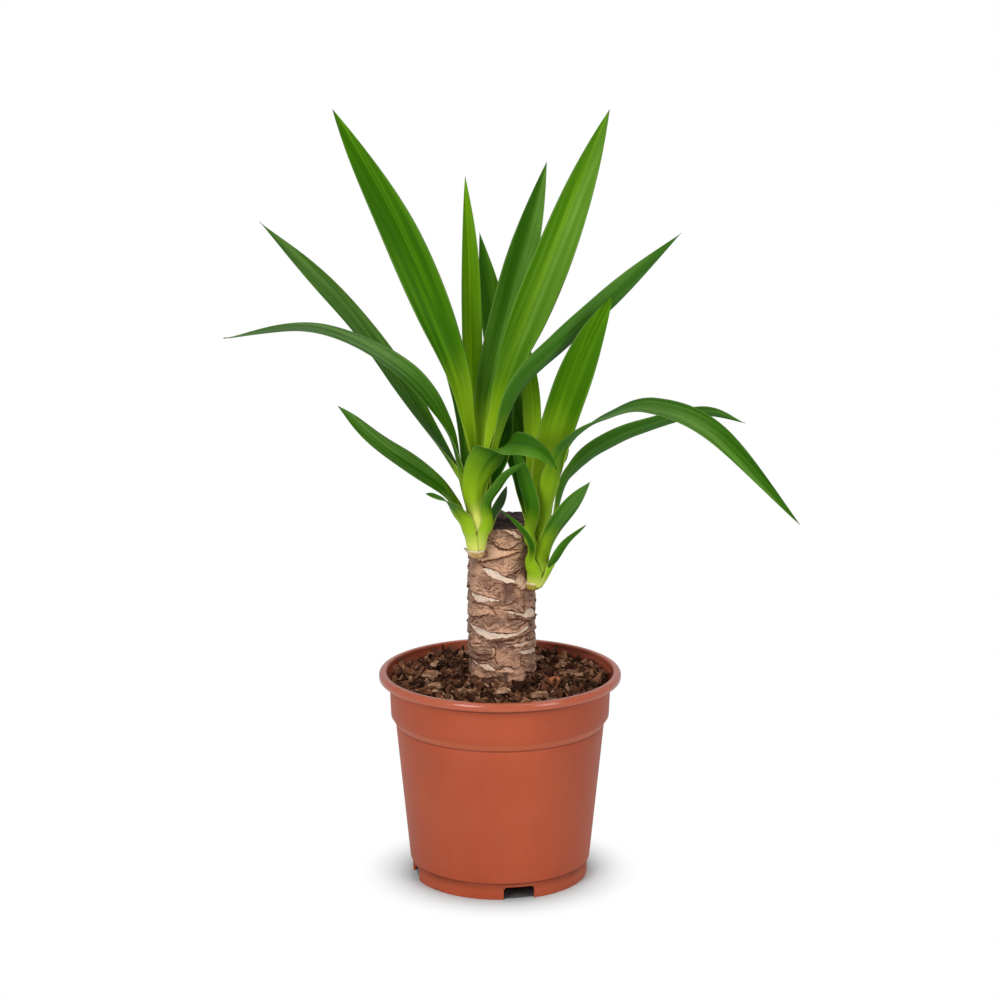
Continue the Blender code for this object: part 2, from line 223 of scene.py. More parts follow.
def grow(name, source, tree, values, material):  # runs a Geometry Nodes tree and keeps its plain mesh
    modifier = source.modifiers.new("grow", "NODES")
    modifier.node_group = tree
    sockets = {item.name: item.identifier for item in tree.interface.items_tree if item.in_out == "INPUT"}
    for label, value in {**values, "Material": material}.items():
        modifier[sockets[label]] = value
    view = bpy.context.evaluated_depsgraph_get()
    mesh = bpy.data.meshes.new_from_object(source.evaluated_get(view), preserve_all_data_layers=True,
                                           depsgraph=view)
    mesh.name = name
    source.modifiers.clear()
    bpy.data.objects.remove(source)
    return newObject(name, mesh, material)


def finishPiece(obj, slot, *nodes):
    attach(obj, "root")
    if nodes:
        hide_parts(*nodes)
    return obj


def softNoise(points, size, seed):  # a smooth random field, from 0 to 1, in the shape of the points given
    cell = points.reshape(-1, 3) / size + seed * 17.3
    low = np.floor(cell).astype(np.int64)
    part = cell - low
    part = part * part * (3 - 2 * part)
    # each corner of a cell has its own value, made by scrambling its place and the seed
    field = np.zeros(len(cell))
    for corner in range(8):
        step = np.array([corner & 1, corner >> 1 & 1, corner >> 2 & 1])
        key = ((low + step) * np.array([73856093, 19349663, 83492791])).sum(axis=1) + seed * 8191
        key = (key ^ (key >> 13)) * 1274126177
        value = ((key ^ (key >> 16)) & 65535) / 65535
        field += value * np.where(step, part, 1 - part).prod(axis=1)
    return field.reshape(points.shape[:-1])


def smoothStep(value, start, end):
    share = np.clip((value - start) / (end - start), 0, 1)
    return share * share * (3 - 2 * share)


def polar(radius, turn, height):  # points at a distance and angle from the middle
    return np.stack(np.broadcast_arrays(radius * np.cos(turn), radius * np.sin(turn), height), axis=-1)


def unit(vectors):
    return vectors / np.linalg.norm(vectors, axis=-1, keepdims=True)


def fullTurn(count):
    return np.arange(count) * math.tau / count


def geo(kind, inputs=None, **settings):  # the first output of a Geometry Nodes node
    return add("GeometryNode" + kind, inputs, **settings)[0]


def geometryGroup(name, *inputs):
    return newGroup(name, "GeometryNodeTree", [("Geometry", "Geometry"), *inputs, ("Material", "Material")],
                    [("Geometry", "Geometry")])


def scatterPoints(given, chance):
    inputs = {"Mesh": given["Geometry"], "Distance Min": given["Spacing"], "Density Max": given["Density"],
              "Density Factor": chance, "Seed": given["Seed"]}
    return add("GeometryNodeDistributePointsOnFaces", inputs, distribute_method="POISSON")


def store(geometry, name, value, kind="FLOAT"):
    return geo("StoreNamedAttribute", {"Geometry": geometry, "Name": name, "Value": value}, data_type=kind,
               domain="POINT")


def namedAttribute(name, kind="FLOAT"):
    return geo("InputNamedAttribute", {"Name": name}, data_type=kind)


def setPosition(geometry, place):
    return geo("SetPosition", {"Geometry": geometry, "Position": place})


def joined(*parts):
    join = work["tree"].nodes.new("GeometryNodeJoinGeometry")
    for part in parts:
        plug(join.inputs[0], part)
    return Outputs(join)[0]


def closeTree(given, out, geometry):  # each tree ends in real geometry in the material it is given
    real = geo("RealizeInstances", {"Geometry": geometry})
    plug(out["Geometry"], geo("SetMaterial", {"Geometry": real, "Material": given["Material"]}))


def buildGrain():  # streaks or mottling: noise read through a stretched space
    tree, given, out = newGroup("stretchedGrain", "ShaderNodeTree",
                                [("Place", "Vector"), ("Stretch", "Vector"), ("Low", "Float"),
                                 ("High", "Float"), ("Detail", "Float")],
                                [("Mask", "Float"), ("Height", "Float")])
    place = vectorCalc("MULTIPLY", given["Place"], given["Stretch"])
    cloud = add("ShaderNodeTexNoise", {"Vector": place, "Scale": 1.0, "Detail": given["Detail"],
                                       "Roughness": 0.55})["Fac"]
    plug(out["Mask"], fade(cloud, given["Low"], given["High"]))
    plug(out["Height"], cloud)
    return tree


def buildSpecks():  # scattered round flecks, each cell with its own chance of one
    tree, given, out = newGroup("scatteredSpecks", "ShaderNodeTree",
                                [("Place", "Vector"), ("Scale", "Float"), ("Share", "Float"),
                                 ("Size", "Float")],
                                [("Mask", "Float"), ("Random", "Float")])
    cells = add("ShaderNodeTexVoronoi", {"Vector": given["Place"], "Scale": given["Scale"]})
    parts = add("ShaderNodeSeparateColor", {"Color": cells["Color"]})
    chosen = calc("LESS_THAN", parts[0], given["Share"])
    plug(out["Mask"], chosen * fade(cells["Distance"], given["Size"], given["Size"] * 0.6))
    plug(out["Random"], parts[1])
    return tree


def buildDust():  # settled dust: thicker on faces that look up, broken by noise
    tree, given, out = newGroup("settledDust", "ShaderNodeTree",
                                [("Place", "Vector"), ("Colour", "Color"), ("Dust Colour", "Color"),
                                 ("Amount", "Float"), ("Scale", "Float")],
                                [("Colour", "Color"), ("Mask", "Float")])
    lying = fade(split(add("ShaderNodeNewGeometry")["Normal"])["Z"], -0.1, 0.9, 0.25, 1.0)
    cloud = add("ShaderNodeTexNoise", {"Vector": given["Place"], "Scale": given["Scale"], "Detail": 6.0,
                                       "Roughness": 0.6})["Fac"]
    mask = lying * fade(cloud, 0.42, 0.68) * given["Amount"]
    plug(out["Colour"], mix(mask, given["Colour"], given["Dust Colour"]))
    plug(out["Mask"], mask)
    return tree


grainGroup, specksGroup, dustGroup = buildGrain(), buildSpecks(), buildDust()


def grain(place, stretch, low=0.35, high=0.65, detail=3.0):
    inputs = {"Place": place, "Stretch": stretch, "Low": low, "High": high, "Detail": detail}
    return add("ShaderNodeGroup", inputs, node_tree=grainGroup)


def specks(place, scale, share, size):
    inputs = {"Place": place, "Scale": scale, "Share": share, "Size": size}
    return add("ShaderNodeGroup", inputs, node_tree=specksGroup)


def dust(place, colour, dustColour, amount, scale):
    inputs = {"Place": place, "Colour": colour, "Dust Colour": paint(dustColour), "Amount": amount,
              "Scale": scale}
    return add("ShaderNodeGroup", inputs, node_tree=dustGroup)


# the inner colour is painted shade inside the pot, the crease colour is painted shade in its creases, and the
# paler orange is painted light on the collar's underside
potColours = {"clay": "b8502f", "clayWarm": "c25a35", "clayDeep": "a64628", "inner": "8e3818",
              "lip": "c05632", "crease": "6e2c18", "worn": "d06c46", "dust": "c9a890", "stain": "3a2218"}
potCreaseShades = ((0.1159, 0.0015, 0.85), (0.0915, 0.0008, 0.6), (0.0098, 0.0006, 0.35))  # height, reach and depth of each painted shade line: under the lip, at the ledge and above the foot


def potFinish():
    material, shader, place = newMaterial("satinClayPlastic", 0.3)
    height = split(place)["Z"]
    # painted shade: the inside of the pot is painted darker with the inner colour; the dirt specks and soil
    # smears there are real stains
    inside = attributes("potShadedInside")[0]
    outer = 1.0 - inside
    cloud = grain(place, (24, 24, 15), 0.3, 0.7)
    streak = grain(place, (90, 90, 7), 0.4, 0.75)
    lip = fade(height, 0.1170, 0.1176) * outer
    # painted light: the collar's sloping underside is painted a paler orange
    paintedSlopeLight = fade(height, 0.0914, 0.0922) * fade(height, 0.0968, 0.0945, 0, 0.5)
    # painted shade: dark lines in the creases under the lip, at the ledge and above the foot
    paintedCreaseShade = 0.0
    for level, reach, depth in potCreaseShades:
        away = calc("ABSOLUTE", height - level)
        paintedCreaseShade = calc("MAXIMUM", fade(away, reach, reach * 0.3, 0.0, depth), paintedCreaseShade)
    soiled = calc("MAXIMUM", fade(height, 0.02, 0.003) * 0.35, inside)
    dirt = specks(place, 420.0, 0.035, 0.32)["Mask"] * soiled
    smear = inside * grain(place, (60, 60, 150), 0.4, 0.7)["Mask"]
    colour = layer(mix(cloud["Mask"], potColours["clayDeep"], potColours["clayWarm"]), potColours,
                   (0.65, "clay"), (streak["Mask"] * 0.16, "clayWarm"), (inside * 0.85, "inner"),
                   (lip * 0.7, "lip"), (paintedSlopeLight * outer, "worn"), (paintedCreaseShade * outer, "crease"),
                   (dirt * 0.8, "stain"), (smear * 0.4, "stain"))
    dusted = dust(place, colour, potColours["dust"], 0.07, 60.0)
    scratch = grain(place, (500, 500, 45), 0.62, 0.7)["Mask"]
    rough = dusted["Mask"] * 0.6 + (lip * -0.17 + (scratch * 0.05 + (cloud["Mask"] * 0.06 + 0.4)))
    plug(shader.inputs["Coat Weight"], lip * 0.8)
    shader.inputs["Coat Roughness"].default_value = 0.14
    skin = grain(place, (900, 900, 900), 0.3, 0.7)
    wave = grain(place, (36, 36, 9), 0.2, 0.8)
    relief = scratch * -0.02 + (skin["Height"] * 0.1 + wave["Height"])
    dress(shader, dusted["Colour"], rough, relief, 0.2, 0.0006)
    return material


soilColours = {"black": "160803", "peat": "371a0d", "brown": "7c5039", "fibre": "bd8864", "pale": "dcb28c"}


def soilFinish():
    material, shader, place = newMaterial("pottingSoil", 0.16)
    tone = attributes("crumbTone")[0]
    clod = grain(place, (260, 260, 260))
    fine = grain(place, (1400, 1400, 1400), 0.4, 0.62)
    grit = specks(place, 700.0, 0.07, 0.34)
    colour = layer(soilColours["black"], soilColours, (clod["Mask"], "peat"),
                   (fade(tone, 0.25, 0.72), "brown"), (fade(tone, 0.84, 0.95, 0, 0.85), "fibre"))
    gritColour = mix(grit["Random"], soilColours["fibre"], soilColours["pale"])
    colour = mix(grit["Mask"] * 0.7, colour, gritColour)
    colour = mix(fine["Mask"] * 0.25, colour, soilColours["brown"])
    dress(shader, colour, clod["Mask"] * -0.2 + 0.97, fine["Height"] * 0.5 + clod["Height"], 1.0, 0.0016)
    return material


chipColours = {"dark": "4c2c1c", "darkPale": "976a4c", "light": "8c5a3e", "lightPale": "ecbc98",
               "cork": "352118", "orange": "c86a30", "grit": "24150e"}


def chipFinish():
    material, shader, place = newMaterial("barkChip", 0.3)
    tone = attributes("chipTone")[0]
    layers = grain(place, (90, 420, 700), 0.35, 0.68)
    cork = grain(place, (900, 900, 900), 0.4, 0.66)
    grit = specks(place, 800.0, 0.12, 0.3)
    dark = mix(tone, chipColours["dark"], chipColours["darkPale"])
    light = mix(tone, chipColours["light"], chipColours["lightPale"])
    colour = layer(mix(layers["Mask"], dark, light), chipColours, (cork["Mask"] * 0.35, "cork"),
                   (fade(tone, 0.968, 0.985) * 0.7, "orange"), (grit["Mask"] * 0.6, "grit"))
    relief = cork["Height"] * 0.5 + layers["Height"]
    dress(shader, colour, layers["Mask"] * -0.12 + 0.92, relief, 0.7, 0.0009)
    return material


barkColours = {"taupe": "6c4538", "warm": "f4ba96", "grey": "8a7268", "deep": "4a2c20", "rust": "80422a",
               "line": "26150f", "pale": "ffe8d4", "cream": "f6cbac", "tan": "eaab7e", "spot": "9a6248",
               "dust": "c8b09a"}


def barkFinish():
    material, shader, place = newMaterial("caneBark", 0.25)
    pale, line, lift, warmth, ring, tone, shade, sideShade = attributes(
        "barkPale", "barkLine", "barkLift", "barkWarmth", "barkRing", "barkTone", "barkShade", "barkSideShade")
    cloud = grain(place, (75, 75, 95), 0.34, 0.66)
    stone = grain(place, (420, 420, 620), 0.36, 0.64)
    fine = grain(place, (1300, 1300, 1700), 0.38, 0.64)
    crease = grain(place, (150, 150, 800), 0.56, 0.72)
    level = cloud["Mask"] * 0.6 + tone * 0.5
    rings = fade(ring, 0.3, 0.8) * fade(cloud["Mask"], 0.75, 0.35, 0.25, 1)
    wrinkle = crease["Mask"] * 0.55
    colour = layer(barkColours["taupe"], barkColours, (fade(level, 0.12, 0.85), "warm"),
                   # painted shade: greyer and darker towards the cane's left and right sides
                   (stone["Mask"] * 0.28, "grey"), (sideShade * 0.6, "grey"), (fine["Mask"] * 0.3, "deep"),
                   # painted light and shade: the lifted lower edges of the plates are painted lighter as a
                   # painted highlight, and the bark just below each plate and scar is painted darker as
                   # painted shade
                   (lift * 0.4, "warm"), (shade * 0.7, "deep"), (rings * 0.6, "deep"),
                   (fade(ring, -0.3, -0.8) * 0.25, "cream"), (wrinkle, "rust"),
                   (wrinkle * fine["Mask"], "line"))
    pores = specks(place, 480.0, 0.13, 0.4)
    fresh = layer(barkColours["pale"], barkColours, (fade(stone["Mask"] * 0.2 + warmth, 0.1, 1.0), "tan"),
                  (stone["Mask"] * 0.4, "cream"), (crease["Mask"] * 0.25, "spot"),
                  (pores["Mask"] * 0.8, "spot"))
    colour = mix(fade(pale, 0.15, 0.65), colour, fresh)
    dark = fade(line, 0.3, 0.85) * fade(fine["Mask"], 1.2, 0.0, 0.6, 0.95)
    colour = layer(colour, barkColours, (fade(line, 0.1, 0.5, 0.0, 0.75), "rust"), (dark, "line"))
    dusted = dust(place, colour, barkColours["dust"], 0.06, 220.0)
    relief = crease["Mask"] * -0.5 + (fine["Height"] * 0.5 + stone["Height"])
    dress(shader, dusted["Colour"], stone["Mask"] * 0.14 + 0.68, relief, 1.0, 0.0012)
    return material


crustColours = {"dark": ("140d0c", "40302c"), "light": ("3c2c32", "866c70"), "worn": "5a4746",
                "grit": "8a7064"}


def crustFinish():
    material, shader, place = newMaterial("darkCrust", 0.25)
    # painted shade: the crust is painted darker at the front than at the back
    back = attributes("crustLitBack")[0]
    cloud = grain(place, (120, 500, 300))
    fine = grain(place, (700, 1500, 1100), 0.4, 0.64)
    grit = specks(place, 500.0, 0.06, 0.3)
    dark, light = (mix(cloud["Mask"], *crustColours[name]) for name in ("dark", "light"))
    colour = layer(mix(fade(back, 0.15, 0.95), dark, light), crustColours, (fine["Mask"] * 0.35, "worn"),
                   (grit["Mask"] * 0.4, "grit"))
    relief = fine["Height"] * 0.5 + cloud["Height"]
    dress(shader, colour, cloud["Mask"] * 0.25 + 0.65, relief, 0.7, 0.0009)
    return material


sheathColours = {"dry": ("cf9c5f", "e9c48d"), "moist": ("a8a420", "c4bc3c"), "fibre": "b07c42",
                 "foot": "a06c40", "rim": "f4dcc0", "tip": "3c271b"}


def sheathFinish():
    material, shader, place = newMaterial("drySheath", 0.3)
    rise, green, tip = attributes("sheathRise", "sheathGreen", "sheathTip")
    fibre = grain(place, (900, 900, 200))
    cloud = grain(place, (260, 260, 260))
    dry, moist = (mix(cloud["Mask"], *sheathColours[name]) for name in ("dry", "moist"))
    colour = layer(mix(green, dry, moist), sheathColours, (fibre["Mask"] * 0.35, "fibre"),
                   (fade(rise, 0.35, 0.0, 0.0, 0.8), "foot"), (fade(rise, 0.8, 0.97), "rim"), (tip, "tip"))
    dress(shader, colour, cloud["Mask"] * 0.15 + 0.55, fibre["Height"], 0.5, 0.0004)
    return material


leafColours = {"dark": "1b4e00", "mature": "3e7400", "lime": "76a200", "vivid": "5c9608", "bloom": "7f9f60",
               "under": "4a7e22", "underDark": "2a5c14", "base": "dee26c", "baseLime": "96bc1e",
               "margin": "8cb558", "tip": "5a4a20"}


def leafFinish():
    material, shader, _ = newMaterial("leafBlade", 0.22)
    shader.inputs["Specular Tint"].default_value = (0.7, 1.0, 0.2, 1)
    # reach is the distance from the root and rise the height above the shoot's foot, in metres; paleness
    # is how far up the base stays pale, and lean says which half of the blade is painted lighter, as painted
    # light, while the other half is painted darker, as painted shade
    across, along, under, tone, reach, rise, paleness, lean, bloom = attributes(
        "bladeAcross", "bladeAlong", "bladeUnder", "bladeTone", "bladeReach", "bladeRise", "bladePale",
        "bladeLitSide", "bladePaintedSheen")
    # painted sheen: a grey painted reflection on the blade, weaker towards its base
    bloom = bloom * fade(along, 0.2, 0.6, 0.3, 1.0)
    place = add("ShaderNodeAttribute", attribute_name="bladePlace")["Vector"]
    broad = grain(place, (230, 5, 30), 0.36, 0.66, 1.5)
    vein = grain(place, (850, 7, 30), 0.36, 0.66, 2.0)
    cloud = grain(place, (60, 16, 30), 0.36, 0.64)
    colours = dict(leafColours)
    bright = fade(tone, 0.5, 1.0)
    colour = layer(colours["dark"], colours, (fade(tone, 0.0, 0.5), "mature"), (bright, "lime"))
    colours["shaded"] = mix(bright, colours["dark"], colours["mature"])
    # the paler colour of the lit half and the streaks, mixed with the grey painted sheen
    colours["pale"] = mix(0.75, colour, mix(bloom, colours["vivid"], colours["bloom"]))
    # painted light and shade: one half of the blade, chosen by lean, is painted lighter and the other darker
    side = (broad["Mask"] - 0.5) * 0.12 + across * lean
    paintedLitHalf = fade(side, -0.04, 0.12) * fade(side, 0.8, 0.3, 0.3, 0.85)
    # how much of the painted sheen the broad streaks and the underside take
    paintedSheenAmount = bloom * 0.5 + 0.12
    colour = layer(colour, colours, (paintedLitHalf, "pale"), (fade(side, -0.05, -0.4, 0.0, 0.85), "shaded"),
                   (fade(broad["Mask"], 0, 1, 0.25, 1) * paintedSheenAmount, "pale"), (cloud["Mask"] * 0.38, "shaded"),
                   (vein["Mask"] * 0.45, "shaded"), (fade(broad["Mask"], 0.5, 0.0, 0.0, 0.45), "shaded"))
    dull = layer(colours["underDark"], colours, (tone, "under"), (broad["Mask"] * paintedSheenAmount, "pale"))
    colour = mix(under * fade(reach, 0.02, 0.07), colour, mix(0.75, colour, dull))
    grownOut = (broad["Mask"] * -0.005 + reach) / paleness
    cream = fade(grownOut, 1.3, 0.2) * fade(rise, 0.037, 0.022) * fade(paleness, 0.01, 0.018)
    cream = calc("MAXIMUM", cream, fade(rise, 0.018, 0.002))
    colour = mix(fade(grownOut, 0.6, 2.5), mix(cream, colours["baseLime"], colours["base"]), colour)
    edge = fade(calc("ABSOLUTE", across), 0.88, 0.97)
    colours["rim"] = mix(fade(reach, 0.01, 0.05), colours["base"], colours["margin"])
    colour = layer(colour, colours, (edge * fade(reach, 0.01, 0.06, 0.6, 0.32), "rim"),
                   (fade(along, 0.985, 0.998), "tip"))
    rough = cloud["Mask"] * 0.05 + (under * 0.14 + (vein["Mask"] * 0.06 + 0.36))
    relief = (vein["Height"] * 0.35 + broad["Height"]) * fade(reach, 0.0, 0.03)
    dress(shader, colour, rough, relief, 0.35, 0.0006)
    return material


stemColours = {"young": ("b8d828", "a4cc18"), "bark": ("6a4735", "9a7154"), "grown": "8cc010"}


def stemFinish():
    material, shader, place = newMaterial("greenStem")
    rise, green = attributes("stemRise", "stemGreen")
    fibre = grain(place, (900, 900, 60))
    young, bark = (mix(fibre["Mask"], *stemColours[name]) for name in ("young", "bark"))
    colour = mix(green, bark, mix(fade(rise, 0.04, 0.06), young, stemColours["grown"]))
    dress(shader, colour, fibre["Mask"] * 0.12 + 0.42, fibre["Height"], 0.3, 0.0004)
    return material


rootColours = ("5a4030", "9c7a58")


def rootFinish():
    material, shader, place = newMaterial("rootThread")
    mottle = grain(place, (500, 500, 500))
    colour = mix(mottle["Mask"], *rootColours)
    dress(shader, colour, mottle["Mask"] * 0.2 + 0.65, mottle["Height"], 0.4, 0.0004)
    return material


potMaterial, soilMaterial, chipMaterial = potFinish(), soilFinish(), chipFinish()
barkMaterial, crustMaterial, sheathMaterial = barkFinish(), crustFinish(), sheathFinish()
leafMaterial, stemMaterial, rootMaterial = leafFinish(), stemFinish(), rootFinish()
print("finishes built")


potSizes = {"rimRadius": 70, "rimInner": 65.2, "rimDepth": 4.8, "collarTop": 64, "collarFoot": 63.2,
            "collarFootHeight": 96, "wallTop": 60.4, "wallTopHeight": 91.6, "wallFoot": 52.4, "wall": 1.2,
            "footRadius": 51.2, "footHeight": 10, "floorUnder": 8.3, "floorTop": 9.8, "groove": 0.22,
            "around": 256, "notchWidth": 18, "notchHeight": 7.6, "notchDepth": 12, "notchCorner": 2.2,
            "notchFirst": -77.5, "nickAway": 57.5, "nickWidth": 2.4, "nickHeight": 1.1, "nickDepth": 6,
            "drainRadius": 4, "drainDepth": 6, "drainCircle": 30, "drains": 6, "sharpAngle": 36,
            "insideFrom": 9}
wallMarks = [(10, 52.4), (91, 60.4), (96, 63.2), (117, 64), (118, 66.5), (122, 66.5)]  # height, radius


def arc(centre, radius, start, end, steps):  # points on a rounded corner of the profile
    turns = np.radians(np.linspace(start, end, steps))
    return [(centre[0] + radius * math.cos(t), centre[1] + radius * math.sin(t)) for t in turns]


def line(start, end, steps):
    return [tuple(p) for p in np.linspace(start, end, steps)[1:-1]]


def potProfile():  # from the middle of the floor's underside, up the outside and down the inside
    s = potSizes
    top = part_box("pot")[1].z / mm
    under = top - s["rimDepth"]
    foot, low, wall, groove = s["footRadius"], s["footHeight"], s["wall"], s["groove"]
    wallFoot, wallTop, ledge = s["wallFoot"], s["wallTop"], s["wallTopHeight"]
    collarFoot, collarLow, collar = s["collarFoot"], s["collarFootHeight"], s["collarTop"]
    rim, bore = s["rimRadius"], s["rimInner"]
    outside = [*arc((foot - 1.1, 0.5), 0.5, 180, 270, 4), *arc((foot - 0.8, 0.5), 0.5, 270, 360, 4),
               (foot - 0.15, low * 0.5), *arc((foot - 0.5, low - 0.9), 0.5, 0, 60, 3),
               (foot - groove, low - 0.35), (foot + 0.1, low - 0.1),
               *arc((wallFoot - 0.5, low + 0.6), 0.5, -60, 0, 4),
               *line((wallFoot, low), (wallTop, ledge - 0.9), 14),
               # the collar's underside is a short slope, set off from the wall by a fine groove
               (wallTop - 0.05, ledge - 0.9), (wallTop - groove, ledge - 0.3), (wallTop + 0.1, ledge + 0.15),
               *line((wallTop + 0.1, ledge + 0.15), (collarFoot - 0.4, collarLow - 0.4), 5),
               (collarFoot - 0.35, collarLow - 0.35), (collarFoot - 0.05, collarLow + 0.1),
               *line((collarFoot, collarLow), (collar, under - 1.0), 6),
               (collar - groove, under - 0.6), (collar + 0.1, under - 0.05), (rim - 2.4, under - 0.05),
               *arc((rim - 1.2, under + 1.2), 1.2, 285, 360, 6), *arc((rim - 2.2, top - 2.2), 2.2, 0, 90, 8)]
    inside = [*arc((bore + 1.6, top - 1.6), 1.6, 90, 180, 6), (bore - 0.5, top - 3.2),
              (bore - 1.6, under + 0.2), (collar - wall, under - 1.6), (collar - wall, under - 2.4),
              (collarFoot - wall, collarLow + 0.6),
              (wallTop - wall, ledge + 0.4), *arc((wallFoot - wall - 1, s["floorTop"] + 1), 1, 0, -90, 4)]
    floorTop = [(radius, s["floorTop"]) for radius in (45, 35, 24, 12)]
    floorUnder = [(radius, s["floorUnder"]) for radius in (12, 24, 35, 45, foot - 1.6)]
    return floorUnder + outside + inside + floorTop


def footCutter(name, degrees, corner=0):  # a block through the foot ring, with rounded upper edges
    size = [potSizes[name + part] * mm for part in ("Depth", "Width", "Height")]
    turn = math.radians(degrees)
    bm = bmesh.new()
    bmesh.ops.create_cube(bm, size=1)
    bmesh.ops.scale(bm, vec=(size[0], size[1], 2 * size[2]), verts=bm.verts)
    if corner:
        upper = [edge for edge in bm.edges if all(vert.co.z > 0 for vert in edge.verts)
                 and abs(edge.verts[0].co.y - edge.verts[1].co.y) < mm * 0.1]
        bmesh.ops.bevel(bm, geom=upper, offset=corner * mm, segments=6, affect="EDGES", profile=0.5)
    place = Vector((math.cos(turn), math.sin(turn), 0)) * potSizes["footRadius"] * mm
    bm.transform(Matrix.Translation(place) @ Matrix.Rotation(turn, 4, "Z"))
    return fromBmesh(name, bm)


def drill(turn):
    s = potSizes
    place = Vector((s["drainCircle"] * math.cos(turn), s["drainCircle"] * math.sin(turn), s["floorTop"])) * mm
    bm = bmesh.new()
    bmesh.ops.create_cone(bm, cap_ends=True, segments=32, radius1=s["drainRadius"] * mm,
                          radius2=s["drainRadius"] * mm, depth=s["drainDepth"] * mm)
    bm.transform(Matrix.Translation(place))
    return fromBmesh("drill", bm)


def potCutters():
    s = potSizes
    notches = [s["notchFirst"] + 90 * index for index in range(4)]
    cutters = [footCutter("notch", degrees, s["notchCorner"]) for degrees in notches]
    for degrees in (notches[0], notches[2]):
        cutters += [footCutter("nick", degrees + side * s["nickAway"]) for side in (-1, 1)]
    return cutters + [drill(turn) for turn in fullTurn(s["drains"])]


def buildPot():
    radius, height = np.array(potProfile()).T * mm
    points = polar(radius[:, None], fullTurn(potSizes["around"]), height[:, None])
    obj = newObject("potShell", gridMesh("potShell", points), potMaterial)
    cutters = potCutters()
    for cutter in cutters:
        modifier = obj.modifiers.new("cut", "BOOLEAN")
        modifier.operation = "DIFFERENCE"
        modifier.solver = "EXACT"
        modifier.object = cutter
    view = bpy.context.evaluated_depsgraph_get()
    mesh = bpy.data.meshes.new_from_object(obj.evaluated_get(view), depsgraph=view)
    obj.modifiers.clear()
    obj.data = mesh
    for cutter in cutters:
        bpy.data.objects.remove(cutter)
    mesh.shade_smooth()
    mesh.set_sharp_from_angle(angle=math.radians(potSizes["sharpAngle"]))
    places = np.array([vert.co for vert in mesh.vertices]) / mm
    wallHere = np.interp(places[:, 2], *np.array(wallMarks).T)
    within = np.hypot(places[:, 0], places[:, 1]) < wallHere - potSizes["wall"] / 2
    storeFloats(mesh, "potShadedInside", within & (places[:, 2] > potSizes["insideFrom"]))
    return finishPiece(obj, "pot_plastic", "pot")


buildPot()
print("pot built")


shoots = {
    "left": {"side": 239, "foot": 196, "lean": (2.5, 3), "shift": -0.8, "stem": 56, "greening": 1.0,
             "seed": 0.0},
    "right": {"side": 323, "foot": 175, "lean": (0, 1.5), "shift": 3.6, "stem": 52, "greening": 1.7,
              "seed": 5.0},
}
shootSizes = {"caneX": 0.9, "reach": 27.6, "height": 57, "gap": 0.5, "rise": 8, "sink": 8.5, "taper": 2.7,
              "spread": 1.4}
shootRadii = [(0, 4.6), (28, 4.6), (46, 3.2), (57, 1.2)]  # height above its foot, radius
bladeSizes = {"Thickness": 0.85 * mm, "Columns": 45, "Pleats": 4.0, "Pleat Depth": 0.07 * mm,
              "Wave Count": 2.5}
bladeShape = {"baseWidth": 11.5, "neck": 0.62, "baseCurl": 5.3, "clasp": 14, "points": 60}
ownNecks = {"leftBlade12": 0.42, "leftBlade05": 0.62, "rightBlade11": 0.95, "rightBlade05": 0.85,
            "rightBlade09": 0.8, "leftBlade01": 0.95, "leftBlade03": 1.25}
